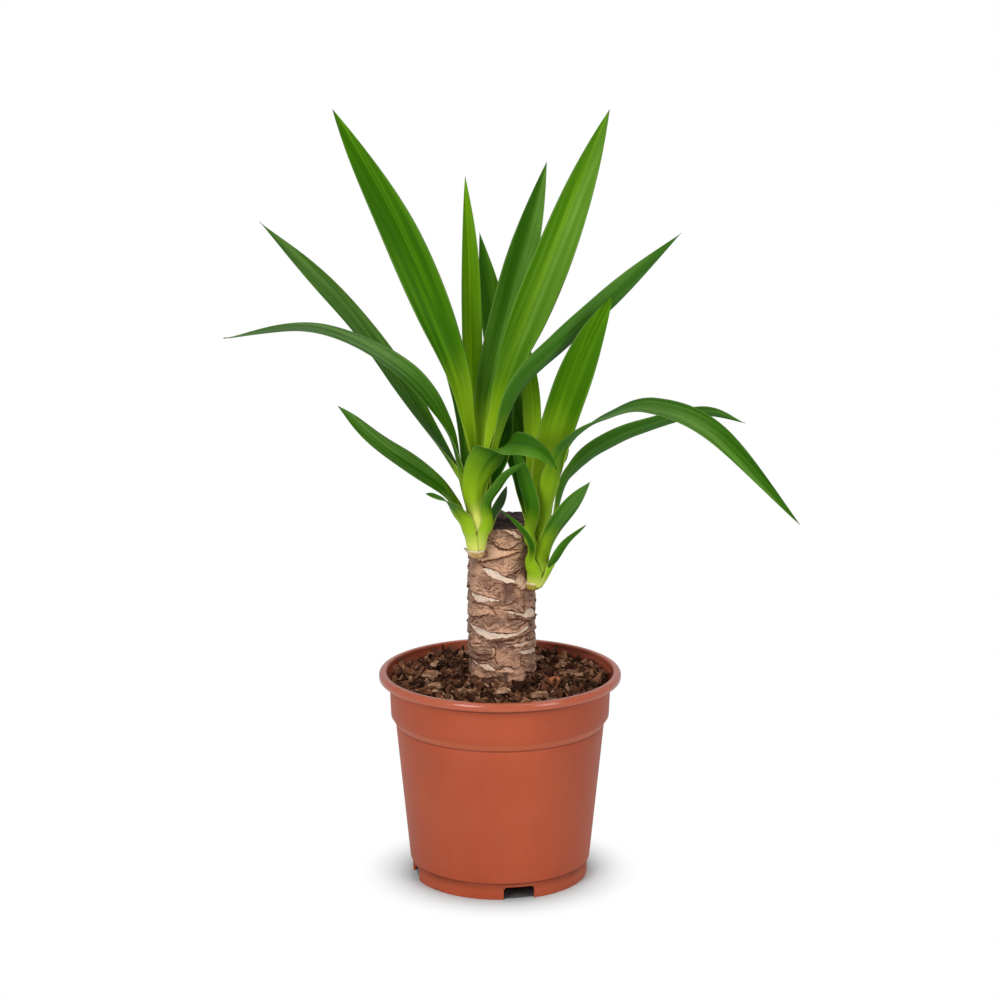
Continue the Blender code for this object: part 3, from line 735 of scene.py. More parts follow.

# For each leaf: shoot, height of the root above the shoot's foot, side of the shoot it grows from,
# greatest width, where its upper face looks along its length (share, compass, elevation), and the
# places its midrib passes through, in millimetres; then how bright its green is, which half is painted
# lighter as painted light and the other darker as painted shade, how strong its grey painted sheen is,
# and how far up its base stays pale.
leaves = [
    ("left", 10.5, 226, 12, [(0.3, 66, 10), (0.65, 20, 60), (1, 300, 55)],
     [(-22.4, -34, 222), (-27.4, -41, 230), (-32.5, -46, 234), (-41, -53, 238)], 0.4, 0.0, 0.3, 11),
    ("left", 14, 188, 17, [(0.3, 330, 40), (1, 300, 45)],
     [(-33, -30, 237), (-64, -42, 262), (-89, -52, 287)], 0.4, 0.3, 0.6, 12),
    ("left", 12, 320, 6.4, [(0.5, 105, 10), (1, 100, 30)],
     [(-7.5, -36, 229), (-1.5, -38, 239), (4, -42, 247), (15, -50, 256)], 0.35, 0.0, 0.4, 9),
    ("left", 12, 20, 5.6, [(0.3, 262, 10), (1, 265, 20)], [(0, -4, 222), (4, 13, 228)], 0.1, 0.0, 0.0, 4),
    ("left", 17, 272, 20, [(0.46, 97, 10), (0.58, 150, 70), (0.67, 270, 50), (1, 285, 25)],
     [(-14.8, -32, 234.4), (-12, -35, 247), (-6.6, -38, 256.5), (1, -45, 263.4), (9.5, -52, 265.6),
      (16.5, -57, 265), (24, -60, 261.4), (31.2, -62, 253.6)], 0.12, 0.2, 0.15, 20),
    ("left", 25, 208, 20, [(0.3, 330, 30), (1, 300, 60)],
     [(-28, -28, 269), (-54, -28, 303), (-104, 4, 321), (-160, 42, 309)], 0.24, 0.1, 0.65, 14),
    ("left", 31, 168, 19, [(0.4, 320, 20), (1, 310, 30)],
     [(-38, 0, 262), (-84, 26, 324), (-139, 56, 375)], 0.2, 0.3, 0.5, 10),
    ("left", 22, 124, 15, [(0.5, 290, 20), (1, 280, 40)],
     [(-21, 20, 277), (-35, 60, 317), (-44, 84, 337)], 0.15, 0.0, 0.2, 10),
    ("left", 28, 66, 15, [(0.2, 260, 10), (0.5, 260, 20), (1, 250, 40)],
     [(-1, -6, 247), (1.2, 2, 259.5), (1.5, 20, 276), (6, 84, 305)], 0.0, 0.0, 0.0, 6),
    ("left", 36, 50, 21, [(0.5, 255, 10), (1, 260, 20)],
     [(-7, -4, 281), (10, 26, 348), (27, 55, 410)], 0.2, 0.3, 0.4, 24),
    ("left", 43, 98, 12, [(0.5, 275, 5), (1, 265, 10)],
     [(-15, 2, 280), (-17, 34, 356), (-20, 52, 402)], 1.0, 0.3, 0.0, 26),
    ("left", 38, 318, 17, [(0.15, 145, 15), (0.4, 122, 25), (1, 95, 30)],
     [(7, -27, 289), (33, -33, 319), (58, -39, 343), (98, -50, 382)], 0.3, 0.3, 0.55, 20),
    ("left", 49, 165, 23, [(0.4, 290, 5), (1, 280, 10)],
     [(-24, -16, 298), (-54, -8, 372), (-93, 4, 444)], 0.52, 0.16, 0.05, 29),
    ("left", 50, 10, 23, [(0.4, 255, 5), (1, 265, 10)],
     [(3, -12, 295), (32, -4, 368), (61, 6, 444)], 0.85, 0.6, 0.45, 22),
    ("right", 9, 353, 6, [(0.4, 115, 20), (1, 105, 30)],
     [(29, -28, 192), (37, -34, 206), (48, -42, 218)], 0.35, 0.0, 0.2, 6),
    ("right", 9, 238, 6, [(0.5, 50, 30), (1, 60, 50)],
     [(17, -34, 206), (8, -38, 219), (0, -40, 226)], 0.4, 0.0, 0.3, 9),
    ("right", 14, 292, 12, [(0.4, 110, 10), (1, 100, 20)],
     [(29, -31, 211), (37, -38, 225), (50, -48, 244)], 0.35, 0.0, 0.5, 12),
    ("right", 16, 80, 12, [(0.5, 260, 30), (1, 260, 60)],
     [(28, 16, 230), (35, 48, 241), (39, 84, 227)], 0.3, 0.0, 0.3, 8),
    ("right", 24, 222, 11, [(0.5, 60, 15), (1, 70, 10)],
     [(17.7, -29, 225), (13.8, -32, 241.3), (9.6, -33, 254), (6.6, -32, 262)], 0.3, -0.5, 0.1, 12),
    ("right", 25, 14, 15, [(0.35, 110, 30), (1, 110, 50)],
     [(35.2, -8, 233), (41.5, -2, 241.7), (50, 4, 248.6), (61, 10, 254), (80, 16, 261), (116, 30, 268),
      (143, 42, 259)], 0.2, 0.3, 0.35, 10),
    ("right", 30, 62, 15, [(0.5, 250, 20), (1, 260, 40)],
     [(28, 15, 249), (38, 50, 276), (45, 80, 284)], 0.25, 0.0, 0.3, 10),
    ("right", 32, 145, 19, [(0.12, 290, 5), (0.5, 285, 10), (1, 285, 20)],
     [(13.4, -2, 235), (8.6, 6, 253.4), (1.5, 36, 294), (-6, 62, 334), (-12, 82, 366)], 0.1, 0.3, 0.1, 8),
    ("right", 34, 305, 17, [(0.14, 110, 10), (0.25, 140, 30), (0.38, 175, 55), (0.52, 265, 65), (1, 290, 40)],
     [(28, -27, 238.5), (33.6, -22, 254.6), (43.5, -26, 267.4), (59, -30, 277), (83, -38, 284),
      (118, -60, 273), (162, -85, 228)], 0.3, 0.3, 0.35, 22),
    ("right", 44, 118, 11.5, [(0.5, 285, 5), (1, 280, 15)],
     [(18.4, 0, 258), (17.4, 14, 284), (14, 28, 316)], 0.75, 0.3, 0.0, 34),
    ("right", 49, 50, 21, [(0.4, 260, 5), (1, 270, 5)],
     [(32, -21, 268), (47, -39, 316), (61, -52, 348)], 0.7, 0.2, 0.05, 27),
]


def compass(angle, elevation):
    turn, rise = math.radians(angle), math.radians(elevation)
    return np.array([math.cos(rise) * math.cos(turn), math.cos(rise) * math.sin(turn), math.sin(rise)])


def shootFoot(side):
    turn = math.radians(shoots[side]["side"])
    reach = shootSizes["reach"]
    return np.array([shootSizes["caneX"] + reach * math.cos(turn), reach * math.sin(turn),
                     shoots[side]["foot"]])


def shootPoint(side, height):
    share = height / shootSizes["height"]
    lean = shoots[side]["lean"]
    return np.array([lean[0] * share, lean[1] * share, height])


def shootRadius(height):
    return float(np.interp(height, *np.array(shootRadii).T))


def smoothPath(places, count):  # even points on a Catmull-Rom curve through the places, in millimetres
    knots = np.array([places[0] * 2 - places[1], *places, places[-1] * 2 - places[-2]])
    fine = []
    for a, b, c, d in zip(knots, knots[1:], knots[2:], knots[3:]):
        for t in np.linspace(0, 1, 24, endpoint=False):
            fine.append(0.5 * (2 * b + (c - a) * t + (2 * a - 5 * b + 4 * c - d) * t**2
                               + (3 * b - a - 3 * c + d) * t**3))
    fine = np.array([*fine, knots[-2]])
    run = np.concatenate([[0], np.cumsum(np.linalg.norm(np.diff(fine, axis=0), axis=1))])
    at = np.linspace(0, run[-1], count)
    return np.stack([np.interp(at, run, fine[:, axis]) for axis in range(3)], axis=1), run[-1]


def bladeWidth(name, share, widest, rank, clasp):  # clasping base, narrower neck, wide middle, long point
    slim = ownNecks.get(name, bladeShape["neck"] + 0.25 * (1 - rank))
    base, neck = bladeShape["baseWidth"], max(widest * slim, 5.0)
    low = np.where(share < clasp, base + (neck - base) * smoothStep(share, 0.3 * clasp, clasp),
                   neck + (widest - neck) * smoothStep(share, clasp, 0.5))
    high = widest * np.clip(1 - np.clip((share - 0.5) / 0.5, 0, 1) ** 2.2, 0.0, 1)
    return np.where(share < 0.5, low, high)


def bladeRib(side, height, heading, places, rank):  # the midrib, and the step down to its hidden foot
    s = shootSizes
    outward = compass(heading, 0)
    inward = compass(shoots[side]["side"] + 180, 0) * shoots[side]["shift"]
    sink = height - 0.5 if height < 15 else s["sink"] + 12 * rank**2
    apart = shootRadius(height) + s["gap"] + s["spread"] * (1 - rank)**3
    root = shootPoint(side, height) + outward * apart + inward * 0.45
    rise = root + (outward * 0.3 + np.array([0, 0, 1])) * s["rise"]
    rib, length = smoothPath([root, rise, *(np.array(place) - shootFoot(side) for place in places)],
                             bladeShape["points"])
    return rib, length, np.array([0, 0, -sink]) - outward * s["taper"] + inward * 0.55


def bladeLine(name, side, height, heading, widest, faces, places, rank):  # the midrib with its widths
    rib, length, down = bladeRib(side, height, heading, places, rank)
    share = np.linspace(0, 1, len(rib))
    along = unit(np.gradient(rib, axis=0))
    looks = np.array([compass(heading + 180, 0)] + [compass(*face[1:]) for face in faces])
    marks = [0] + [face[0] for face in faces]
    look = np.stack([np.interp(share, marks, looks[:, axis]) for axis in range(3)], axis=1)
    look = unit(look - along * (look * along).sum(axis=1, keepdims=True))
    clasp = min(max(0.1, bladeShape["clasp"] / length), 0.35)
    half = bladeWidth(name, share, widest, rank, clasp) / 2
    hollow = 0.16 - 0.1 * share
    channel = 4 * hollow / np.maximum(half, 1)
    wrap = 1 / (bladeShape["baseCurl"] + 0.3 * (1 - rank))
    curl = channel + (wrap - channel) * smoothStep(share, 1.6 * clasp, 0.4 * clasp)
    setBack = half * hollow * smoothStep(share, 0, 0.1) + 0.8 * (1 - rank) * smoothStep(share, 0.3, 0)
    body = 0.8 + 0.35 * smoothStep(share, 0, 0.15) - 0.65 * share
    body[-1] = 0
    # two more points take the foot of the leaf down into the bundle below its root
    rib = np.vstack([rib[0] + down, rib[0] + down / 2, rib])
    mesh = bpy.data.meshes.new(name + "Rib")
    edges = [(at, at + 1) for at in range(len(rib) - 1)]
    mesh.from_pydata(((rib + shootFoot(side)) * mm).tolist(), edges, [])
    storeVectors(mesh, "look", np.vstack([look[:1], look[:1], look]))
    for label, start, values in (("half", half[0] * np.array([0.75, 0.95]) * mm, half * mm),
                                 ("curl", [curl[0] / mm] * 2, curl / mm),
                                 ("setBack", [setBack[0] * mm] * 2, setBack * mm),
                                 ("body", [0, body[0]], body),
                                 ("reach", [down[2] * mm, down[2] * mm / 2], share * length * mm),
                                 ("rise", [], rib[:, 2] * shoots[side]["greening"] * mm)):
        storeFloats(mesh, label, [*start, *values])
    return newObject(name + "Rib", mesh), length


def buildBladeTree():  # a sheet wrapped round to a closed blade, then bent along its midrib
    shape = ("Thickness", "Pleats", "Pleat Depth", "Wave Count", "Wave Depth", "Wave Start")
    looks = {"bladeTone": "Tone", "bladeLitSide": "Lean", "bladePaintedSheen": "Bloom", "bladePale": "Pale Reach"}
    floats = [(label, "Float") for label in (*shape, *looks.values(), "Seed")]
    tree, given, out = geometryGroup("bladeTree", ("Rows", "Int"), ("Columns", "Int"), *floats)
    curve = geo("MeshToCurve", {"Mesh": given["Geometry"]})
    sheet = geo("MeshGrid", {"Size X": 1.0, "Size Y": 1.0, "Vertices X": given["Columns"],
                             "Vertices Y": given["Rows"]})
    spot = split(geo("InputPosition"))
    u, v = spot["X"] + 0.5, spot["Y"] + 0.5
    a = 1.0 - calc("ABSOLUTE", u * 4.0 - 2.0)  # from one margin to the other over the top, and back below
    under = calc("GREATER_THAN", u, 0.5)

    def sample(label, kind="FLOAT"):
        inputs = {"Curves": curve, "Value": namedAttribute(label, kind), "Factor": v}
        return add("GeometryNodeSampleCurve", inputs, mode="FACTOR", data_type=kind)

    half, curl, setBack, body, reach, height = (
        sample(label)["Value"] for label in ("half", "curl", "setBack", "body", "reach", "rise"))
    looked = sample("look", "FLOAT_VECTOR")
    look = vectorCalc("NORMALIZE", looked["Value"])
    across = vectorCalc("NORMALIZE", vectorCalc("CROSS_PRODUCT", looked["Tangent"], look))
    s = a * half
    angle = s * curl
    sine, cosine = calc("SINE", angle), calc("COSINE", angle)
    normal = total(scaled(across, sine * -1.0), scaled(look, cosine))
    lens = calc("SQRT", calc("MAXIMUM", 1.0 - a * a, 0.0))
    thick = lens * body * (given["Thickness"] * 0.5) * (under * -2.0 + 1.0)
    grown = fade(v, 0.15, 0.35)
    pleat = calc("COSINE", a * (given["Pleats"] * math.pi)) * given["Pleat Depth"]
    ripple = pleat * (grown * (lens * fade(v, 1.0, 0.75)))
    phase = v * (given["Wave Count"] * math.tau) + given["Wave Start"]
    wave = calc("SINE", a * 0.9 + phase) * (a * a) * given["Wave Depth"] * grown
    rise = (1.0 - cosine) / curl - setBack + wave
    place = total(looked["Position"], scaled(across, sine / curl), scaled(look, rise),
                  scaled(normal, thick + ripple))
    stored = {"bladeAcross": a, "bladeAlong": v, "bladeUnder": under, "bladeReach": reach,
              "bladeRise": height, **{name: given[label] for name, label in looks.items()}}
    for name, value in stored.items():
        sheet = store(sheet, name, value)
    sheet = store(sheet, "bladePlace", combine(s, reach, given["Seed"]), "FLOAT_VECTOR")
    sheet = store(sheet, "shape", place, "FLOAT_VECTOR")
    sheet = setPosition(sheet, namedAttribute("shape", "FLOAT_VECTOR"))
    sheet = geo("MergeByDistance", {"Geometry": sheet, "Distance": 0.004 * mm})
    closeTree(given, out, geo("SetShadeSmooth", {"Geometry": sheet}))
    return tree


def buildLeaves():
    bladeTree = buildBladeTree()
    rng = random.Random(5)
    for side in shoots:
        ownLeaves = [leaf[1:] for leaf in leaves if leaf[0] == side]
        for order, (*shape, tone, lean, bloom, pale) in enumerate(ownLeaves, 1):
            name = f"{side}Blade{order:02d}"
            rib, length = bladeLine(name, side, *shape, order / len(ownLeaves))
            values = {**bladeSizes, "Rows": int(min(max(length / 2.0, 40), 120)),
                      "Wave Depth": shape[2] * 0.03 * mm, "Wave Start": rng.uniform(0, math.tau),
                      "Tone": tone, "Lean": lean, "Bloom": bloom, "Pale Reach": pale * mm,
                      "Seed": order * 0.37 + shoots[side]["seed"]}
            finishPiece(grow(name, rib, bladeTree, values, leafMaterial), "leaf_green",
                        f"{side}_leaf_{order:02d}")


buildLeaves()
print("leaves grown")


caneSizes = {"x": 0.9, "radius": 19.1, "foot": 60, "soilLine": 112, "top": 210.3, "around": 280, "up": 300,
             "swell": 0.5, "lift": 0.9, "fade": 6.0, "recess": 0.3, "ragged": 1.0, "ringStep": 2.6}

# Pale scars left by fallen leaves. Each has a warmth (0 cream, 1 orange tan) and its outline as side of
# the cane (degrees to the right of the front), upper edge and lower edge (millimetres above the ground).
paleScars = [
    (0.35, [(-2, 210, 209), (8, 210, 208.4), (20, 208.6, 206), (30, 206.6, 204), (39, 203.4, 202.6)]),
    (0.3, [(-11, 202.6, 201.6), (-7, 202, 200.4), (-2, 200.4, 199.7)]),
    (0.6, [(-39, 190.4, 189.4), (-31, 195.8, 190.4), (-24, 203.7, 191.2), (-18, 202.4, 191.8),
           (-12, 199.9, 192.4), (-3, 198.2, 193.3), (12, 197.4, 195), (23, 197.7, 195.7),
           (32, 197.3, 196.6)]),
    (0.1, [(-33, 186.3, 185.2), (-22, 187, 182.6), (-10, 185.7, 180.8), (1, 183.3, 179.6), (13, 181.6, 178.3),
           (24, 179.8, 178.6)]),
    (0.5, [(26, 179.4, 177.4), (31, 182.6, 174.6), (37, 184.1, 172.9), (44, 181, 174.4), (48, 178.8, 178)]),
    (0.1, [(-69, 171.9, 171), (-60, 170.6, 167.9), (-47, 170.6, 166.6), (-36, 170.5, 166.5),
           (-23, 170, 167.2), (-12, 169.5, 167.6), (-2, 168.8, 168.2)]),
    (0.2, [(8, 162.3, 161.3), (19, 161.9, 160.2), (31, 160.3, 158.8), (41, 159.4, 157.4), (48, 161.2, 156.8),
           (57, 162, 156.2), (74, 160, 155.4), (88, 157, 155.2)]),
    (0.05, [(-68, 151.9, 151), (-56, 151.3, 148.6), (-44, 151.1, 147.3), (-31, 150.4, 145.9),
            (-18, 149.1, 144.9), (-10, 149, 145.6), (2, 148.9, 146.3), (12, 148.5, 146.3),
            (22, 148.8, 147.4), (32, 149.6, 147.9), (42, 151.4, 148.8), (52, 152.4, 151.2)]),
    (0.6, [(-74, 139.9, 139.3), (-57, 140.6, 139.2), (-47, 141.2, 139.7), (-40, 141.8, 140.7)]),
    (0.3, [(7, 142, 141.5), (19, 142.3, 141), (35, 142.4, 140.2), (44, 143.6, 140.6), (53, 142.6, 141.6)]),
    (0.15, [(25, 137.6, 137.1), (37, 137.9, 136.2), (50, 137.7, 134.9), (66, 137.5, 134.2),
            (88, 136, 133.6)]),
    (0.5, [(-16, 140.7, 138.8), (-13, 140.6, 137.8), (-9.5, 138.6, 137)]),
    (0.15, [(-89, 131.8, 131), (-63, 131.3, 130.3), (-46, 129.7, 128.6)]),
    (0.2, [(-40, 129.5, 128.5), (-32, 130.6, 127), (-22, 130.3, 126.5), (-13, 128, 126.4), (-7, 127, 126.6)]),
    (0.5, [(-9, 126.6, 126), (-1, 127.9, 126), (8, 129.4, 125.8), (17, 128.4, 125.5), (22, 127, 126.4)]),
    (0.3, [(35, 129.7, 129.1), (41, 128.2, 127.4), (47, 127.2, 126.6)]),
    (0.3, [(13, 119.7, 119.1), (26, 119.5, 118.4), (40, 120, 119.3)]),
]

# Lower edges of bark plates that overhang without a pale scar, from left to right.
plateEdges = [
    [(-18, 204.6), (-8, 200.2), (2, 198.5), (11, 198), (20, 199.4), (30, 201.2), (39, 202)],
    [(-46, 189.2), (-26, 190.7), (-12, 192.1), (4, 193.6), (19, 194.9), (32, 196)],
    [(-38, 188.4), (-26, 187.3), (-14, 185.5), (-4, 183.4), (6, 182.7), (18, 183.6), (31, 186)],
    [(14, 178.6), (26, 177), (38, 173.4), (60, 172.4), (86, 171)],
    [(-60, 165), (-38, 165.6), (-24, 165.4), (-12, 164)],
    [(-88, 158), (-62, 156.4), (-40, 157.4), (-22, 160)],
    [(10, 157.4), (30, 156.8), (52, 154.4), (66, 154.2), (88, 154.8)],
    [(-28, 144.2), (-12, 143.9), (4, 144.5), (20, 145.4), (38, 146.4), (56, 147.4)],
    [(-88, 136.6), (-60, 135.7), (-36, 135.2), (-16, 136.4)],
    [(-84, 132.8), (-50, 131.6), (-26, 132.6), (-12, 135)],
    [(-60, 122), (-40, 121), (-20, 122.4), (0, 123.6)],
    [(44, 124.6), (64, 122.6), (86, 123.4)],
]

# Creases and cracks between plates: how strong, and the places each passes through.
barkCracks = [
    (0.6, [(-21, 171.6), (-20, 175.6), (-12, 178.4), (3, 177.8), (18, 176.8), (37, 174)]),
    (0.5, [(-9, 168.6), (-2, 172.4), (8, 173.8), (24, 172.3)]),
    (0.5, [(-24, 177), (-32, 181), (-44, 182), (-60, 180)]),
    (0.9, [(-20, 164.6), (-14, 162.4), (-8, 159.8)]),
    (0.6, [(-20, 164.4), (-10, 165.8), (4, 165.2), (16, 165.8), (28, 168.6), (41, 169.6)]),
    (0.5, [(8, 166.4), (18, 166.6), (29, 166.2)]),
    (0.8, [(42, 171.4), (41, 166), (42, 161)]),
    (0.5, [(28, 150.4), (38, 153.4), (50, 156)]),
    (0.5, [(12, 183.6), (9, 187), (13, 190.6)]),
    (0.5, [(2, 200.4), (8, 201.6), (14, 203.4), (6, 204.2)]),
    (1.0, [(-11, 139.9), (-10, 137.4), (-11, 134.4), (-8, 130.6)]),
    (0.5, [(34, 134), (34, 130)]),
    (0.6, [(-4, 153.4), (6, 152), (16, 153.2)]),
    (0.5, [(-40, 174.5), (-30, 171.8)]),
    (0.6, [(10, 124.4), (22, 123), (36, 124)]),
]

# Painted shadows of the shoots on the cane: side, height, how wide and how tall each is, how strong.
barkCastShadows = [(44, 191, 4.5, 9, 0.9), (34, 181, 3, 4, 0.5), (-22, 207, 1.6, 4.5, 0.9), (-46, 189, 5, 3, 0.8)]

barkKnobs = [(-86, 157.5, 1.1), (-87, 151.8, 1.2), (86, 155.4, 1.1), (87, 148.2, 0.9), (-87, 136.4, 1.0),
             (-80, 184.6, 1.3), (-72, 186, 1.0), (62, 169, 0.8), (-66, 142.6, 0.8), (84, 133, 0.9)]


hiddenSizes = {"from": 120.0, "to": 205, "middles": (118, 180, 238), "aside": 16, "above": 2.5,
               "reach": (26, 44), "rise": (1.5, 4.5), "bands": (0.0, 1.6, 2.4, 3.4), "step": (7.5, 9.5)}


def hiddenMarks():  # the far side of the cane carries scars and plates of the same kind
    s = hiddenSizes
    rng = random.Random(23)
    scars, edges = [], []
    shares = (-1, -0.6, -0.25, 0.1, 0.45, 0.75, 1)
    height = s["from"]
    while height < s["to"]:
        for middle in s["middles"]:
            at = middle + rng.uniform(-s["aside"], s["aside"])
            low = height + rng.uniform(-s["above"], s["above"])
            left, right = rng.uniform(*s["reach"]), rng.uniform(*s["reach"])
            rise, band = rng.uniform(*s["rise"]), rng.choice(s["bands"])
            spots = [(at + share * (left if share < 0 else right),
                      low + rise * share**2 + rng.uniform(-0.4, 0.4)) for share in shares]
            if band:
                warmth = rng.uniform(0, 0.6)
                scars.append((warmth, [(side, top, top - 0.3 - band * (1 - share**2) * rng.uniform(0.7, 1.2))
                                       for (side, top), share in zip(spots, shares)]))
            else:
                edges.append(spots)
        height += rng.uniform(*s["step"])
    return scars, edges


def nearTo(across, height, route):  # distance to a route of straight steps, in millimetres
    best = np.full(across.shape, 99.0)
    for (x0, z0), (x1, z1) in zip(route, route[1:]):
        dx, dz = x1 - x0, z1 - z0
        share = np.clip(((across - x0) * dx + (height - z0) * dz) / (dx * dx + dz * dz), 0, 1)
        best = np.minimum(best, np.hypot(across - x0 - share * dx, height - z0 - share * dz))
    return best


def hill(distance, width):  # 1 at the middle, falling off to both sides
    return np.exp(-(distance / width)**2)


def trail(depth, length):  # 1 up to an edge, fading out over a length behind it
    return np.exp(-np.clip(depth, 0, 40) / length)


def caneSurface(degrees, height):  # radius of the cane and its markings at each side and height
    s = caneSizes
    turn = np.radians(degrees)
    normals = polar(1, turn - math.pi / 2, 0)
    places = polar(s["radius"], turn - math.pi / 2, height)

    def wander(size, seed, squeeze=(1, 1, 1)):
        return softNoise(places * np.array(squeeze), size, seed) - 0.5

    sideways = wander(2.0, 15) * 4
    bend = wander(7, 17) * 3.4 + wander(2.2, 18) * 0.8
    here = height + (wander(2.6, 3) * 0.8 + wander(0.9, 4) * 0.5) * s["ragged"]
    width = 0.34 + 0.3 * (wander(3.0, 19) + 0.5)
    below = here + wander(1.3, 8) * 0.7
    lift, pale, line, warmth, ring, tone, shade = (np.zeros(degrees.shape) for _ in range(7))
    hiddenScars, hiddenEdges = hiddenMarks()
    marks = paleScars + hiddenScars
    marks += [(None, [(side, low, low) for side, low in edge]) for edge in plateEdges + hiddenEdges]
    for number, (warm, outline) in enumerate(marks):
        sides, tops, bottoms = np.array(outline).T
        away = (degrees - sides.mean() + 180) % 360 - 180 + sides.mean() + sideways
        ends = smoothStep(away, sides[0] - 4, sides[0] + 3) * smoothStep(away, sides[-1] + 4, sides[-1] - 3)
        above = here - np.interp(away, sides, tops)
        plate = trail(above, s["fade"]) * smoothStep(above, -0.15, 0.2) * ends
        leading = plate > lift
        tone = np.where(leading, (number * 0.37) % 1, tone)
        ring = np.where(leading, np.sin((above / s["ringStep"] + bend) * math.tau), ring)
        lift = np.maximum(lift, plate)
        line = np.maximum(line, (0.85 if warm is None else 0.95) * hill(above, width) * ends)
        depth = below - np.interp(away, sides, bottoms)
        shade = np.maximum(shade, trail(-depth, 1.6) * smoothStep(depth, 0.3, -0.2) * ends)
        if warm is not None:
            inside = smoothStep(depth, -0.2, 0.5) * smoothStep(above, 0.1, -0.25) * ends
            edged = np.maximum(smoothStep(depth, 1.0, 0.0), smoothStep(above, -0.8, 0.0))
            warmth = np.where(inside > pale, warm + edged * (0.25 + 0.2 * (warm > 0.25)), warmth)
            pale = np.maximum(pale, inside)
    lift, shade = lift * (1 - pale), shade * (1 - pale)
    line = line * (1 - 0.7 * smoothStep(pale, 0.6, 0.9))
    facing = (degrees + 180) % 360 - 180
    # painted shade: towards its left and right sides the cane is painted greyer and darker
    paintedSideShade = smoothStep(np.abs(facing + wander(12, 25) * 40), 38, 75)
    perDegree = math.radians(1) * s["radius"]  # millimetres round the cane
    across = facing * perDegree + sideways * 0.2
    for strength, route in barkCracks:
        gap = nearTo(across, here, [(side * perDegree, low) for side, low in route])
        line = np.maximum(line, strength * hill(gap, 0.34))
    # painted shadow: the bark is painted darker where the shoots shade the cane
    for side, middle, wide, tall, strength in barkCastShadows:
        stain = hill(across - side * perDegree, wide) * hill(here - middle, tall)
        shade = np.maximum(shade, strength * stain)
    knob = np.zeros(degrees.shape)
    for side, low, size in barkKnobs:
        gap = np.hypot(across - side * perDegree, (height - low) * 0.9)
        knob = np.maximum(knob, size * hill(gap, 0.9))
    line = np.maximum(line, np.clip(knob, 0, 0.8))
    lumps = wander(13, 1) * 2 * s["swell"] + wander(3.4, 2) * 0.7 + wander(1.1, 6, (1, 1, 2.2)) * 0.3
    radius = (s["radius"] + lumps + lift * s["lift"] + ring * lift * 0.08 + knob - pale * s["recess"]
              - line * 0.3)
    return normals, radius, {"barkLift": lift, "barkPale": pale, "barkLine": line, "barkWarmth": warmth,
                             "barkRing": ring * smoothStep(lift, 0.1, 0.45), "barkTone": tone,
                             "barkShade": shade, "barkSideShade": paintedSideShade}


def buildCane():
    s = caneSizes
    sides = np.arange(s["around"]) * 360 / s["around"]
    heights = np.concatenate([[s["foot"], 80, 100], np.linspace(s["soilLine"], s["top"], s["up"])])
    degrees, height = np.meshgrid(sides, heights)
    normals, radius, marks = caneSurface(degrees, height)
    pulled = smoothStep(height, s["top"] - 1.2, s["top"] + 0.3) * 0.9  # the sawn edge is worn round
    points = normals * (radius - pulled)[..., None]
    points[..., 2] = height
    points[..., 0] += s["x"]
    mesh = gridMesh("caneTrunk", points * mm)
    for name, values in marks.items():
        storeFloats(mesh, name, values)
    return finishPiece(newObject("caneTrunk", mesh, barkMaterial), "cane_bark", "cane")


flakeSizes = {"Spacing": 1.3 * mm, "Density": 700000.0, "Size": 0.7 * mm, "Seed": 4}


def buildFlakeTree():  # thin lifted scraps of bark along the dark edges of the scars
    tree, given, out = geometryGroup("flakeTree", ("Spacing", "Float"), ("Density", "Float"),
                                     ("Size", "Float"), ("Seed", "Int"))
    buried = (caneSizes["soilLine"] + 5) * mm
    clear = calc("GREATER_THAN", split(geo("InputPosition"))["Z"], buried)
    points = scatterPoints(given, fade(namedAttribute("barkLine"), 0.55, 0.9) * clear)
    sheet = geo("MeshGrid", {"Size X": 1.0, "Size Y": 1.0, "Vertices X": 4, "Vertices Y": 3})
    at = split(geo("InputPosition"))
    bow = at["X"] * at["X"] * -0.5
    lip = calc("MAXIMUM", at["Y"] * -1.0, 0.0) * 0.8
    flake = setPosition(sheet, combine(at["X"] * (at["Y"] * 0.5 + 0.9), at["Y"], bow + lip))
    thick = geo("ExtrudeMesh", {"Mesh": flake, "Offset Scale": 0.12, "Individual": False}, mode="FACES")
    closed = joined(geo("FlipFaces", {"Mesh": flake}), thick)
    solid = geo("MergeByDistance", {"Geometry": closed, "Distance": 0.001})
    size = add("FunctionNodeRandomValue", {0: (0.7, 0.35, 0.6), 1: (2.0, 0.9, 1.3), "Seed": given["Seed"]},
               data_type="FLOAT_VECTOR")
    face = add("FunctionNodeAlignRotationToVector", {"Vector": points["Normal"]}, axis="Z")
    up = add("FunctionNodeAlignRotationToVector", {"Rotation": face[0], "Vector": (0, 0, 1)}, axis="Y",
             pivot_axis="Z")
    placed = geo("InstanceOnPoints", {"Points": points["Points"], "Instance": solid, "Rotation": up[0],
                                      "Scale": scaled(size[0], given["Size"])})
    real = geo("RealizeInstances", {"Geometry": placed})
    closeTree(given, out, store(real, "barkLine", 0.35))  # the scraps are darker than the plates
    return tree


crustSizes = {"radius": 19.2, "under": 209.9, "rim": 211.0, "face": 211.0, "around": 200, "rings": 56}


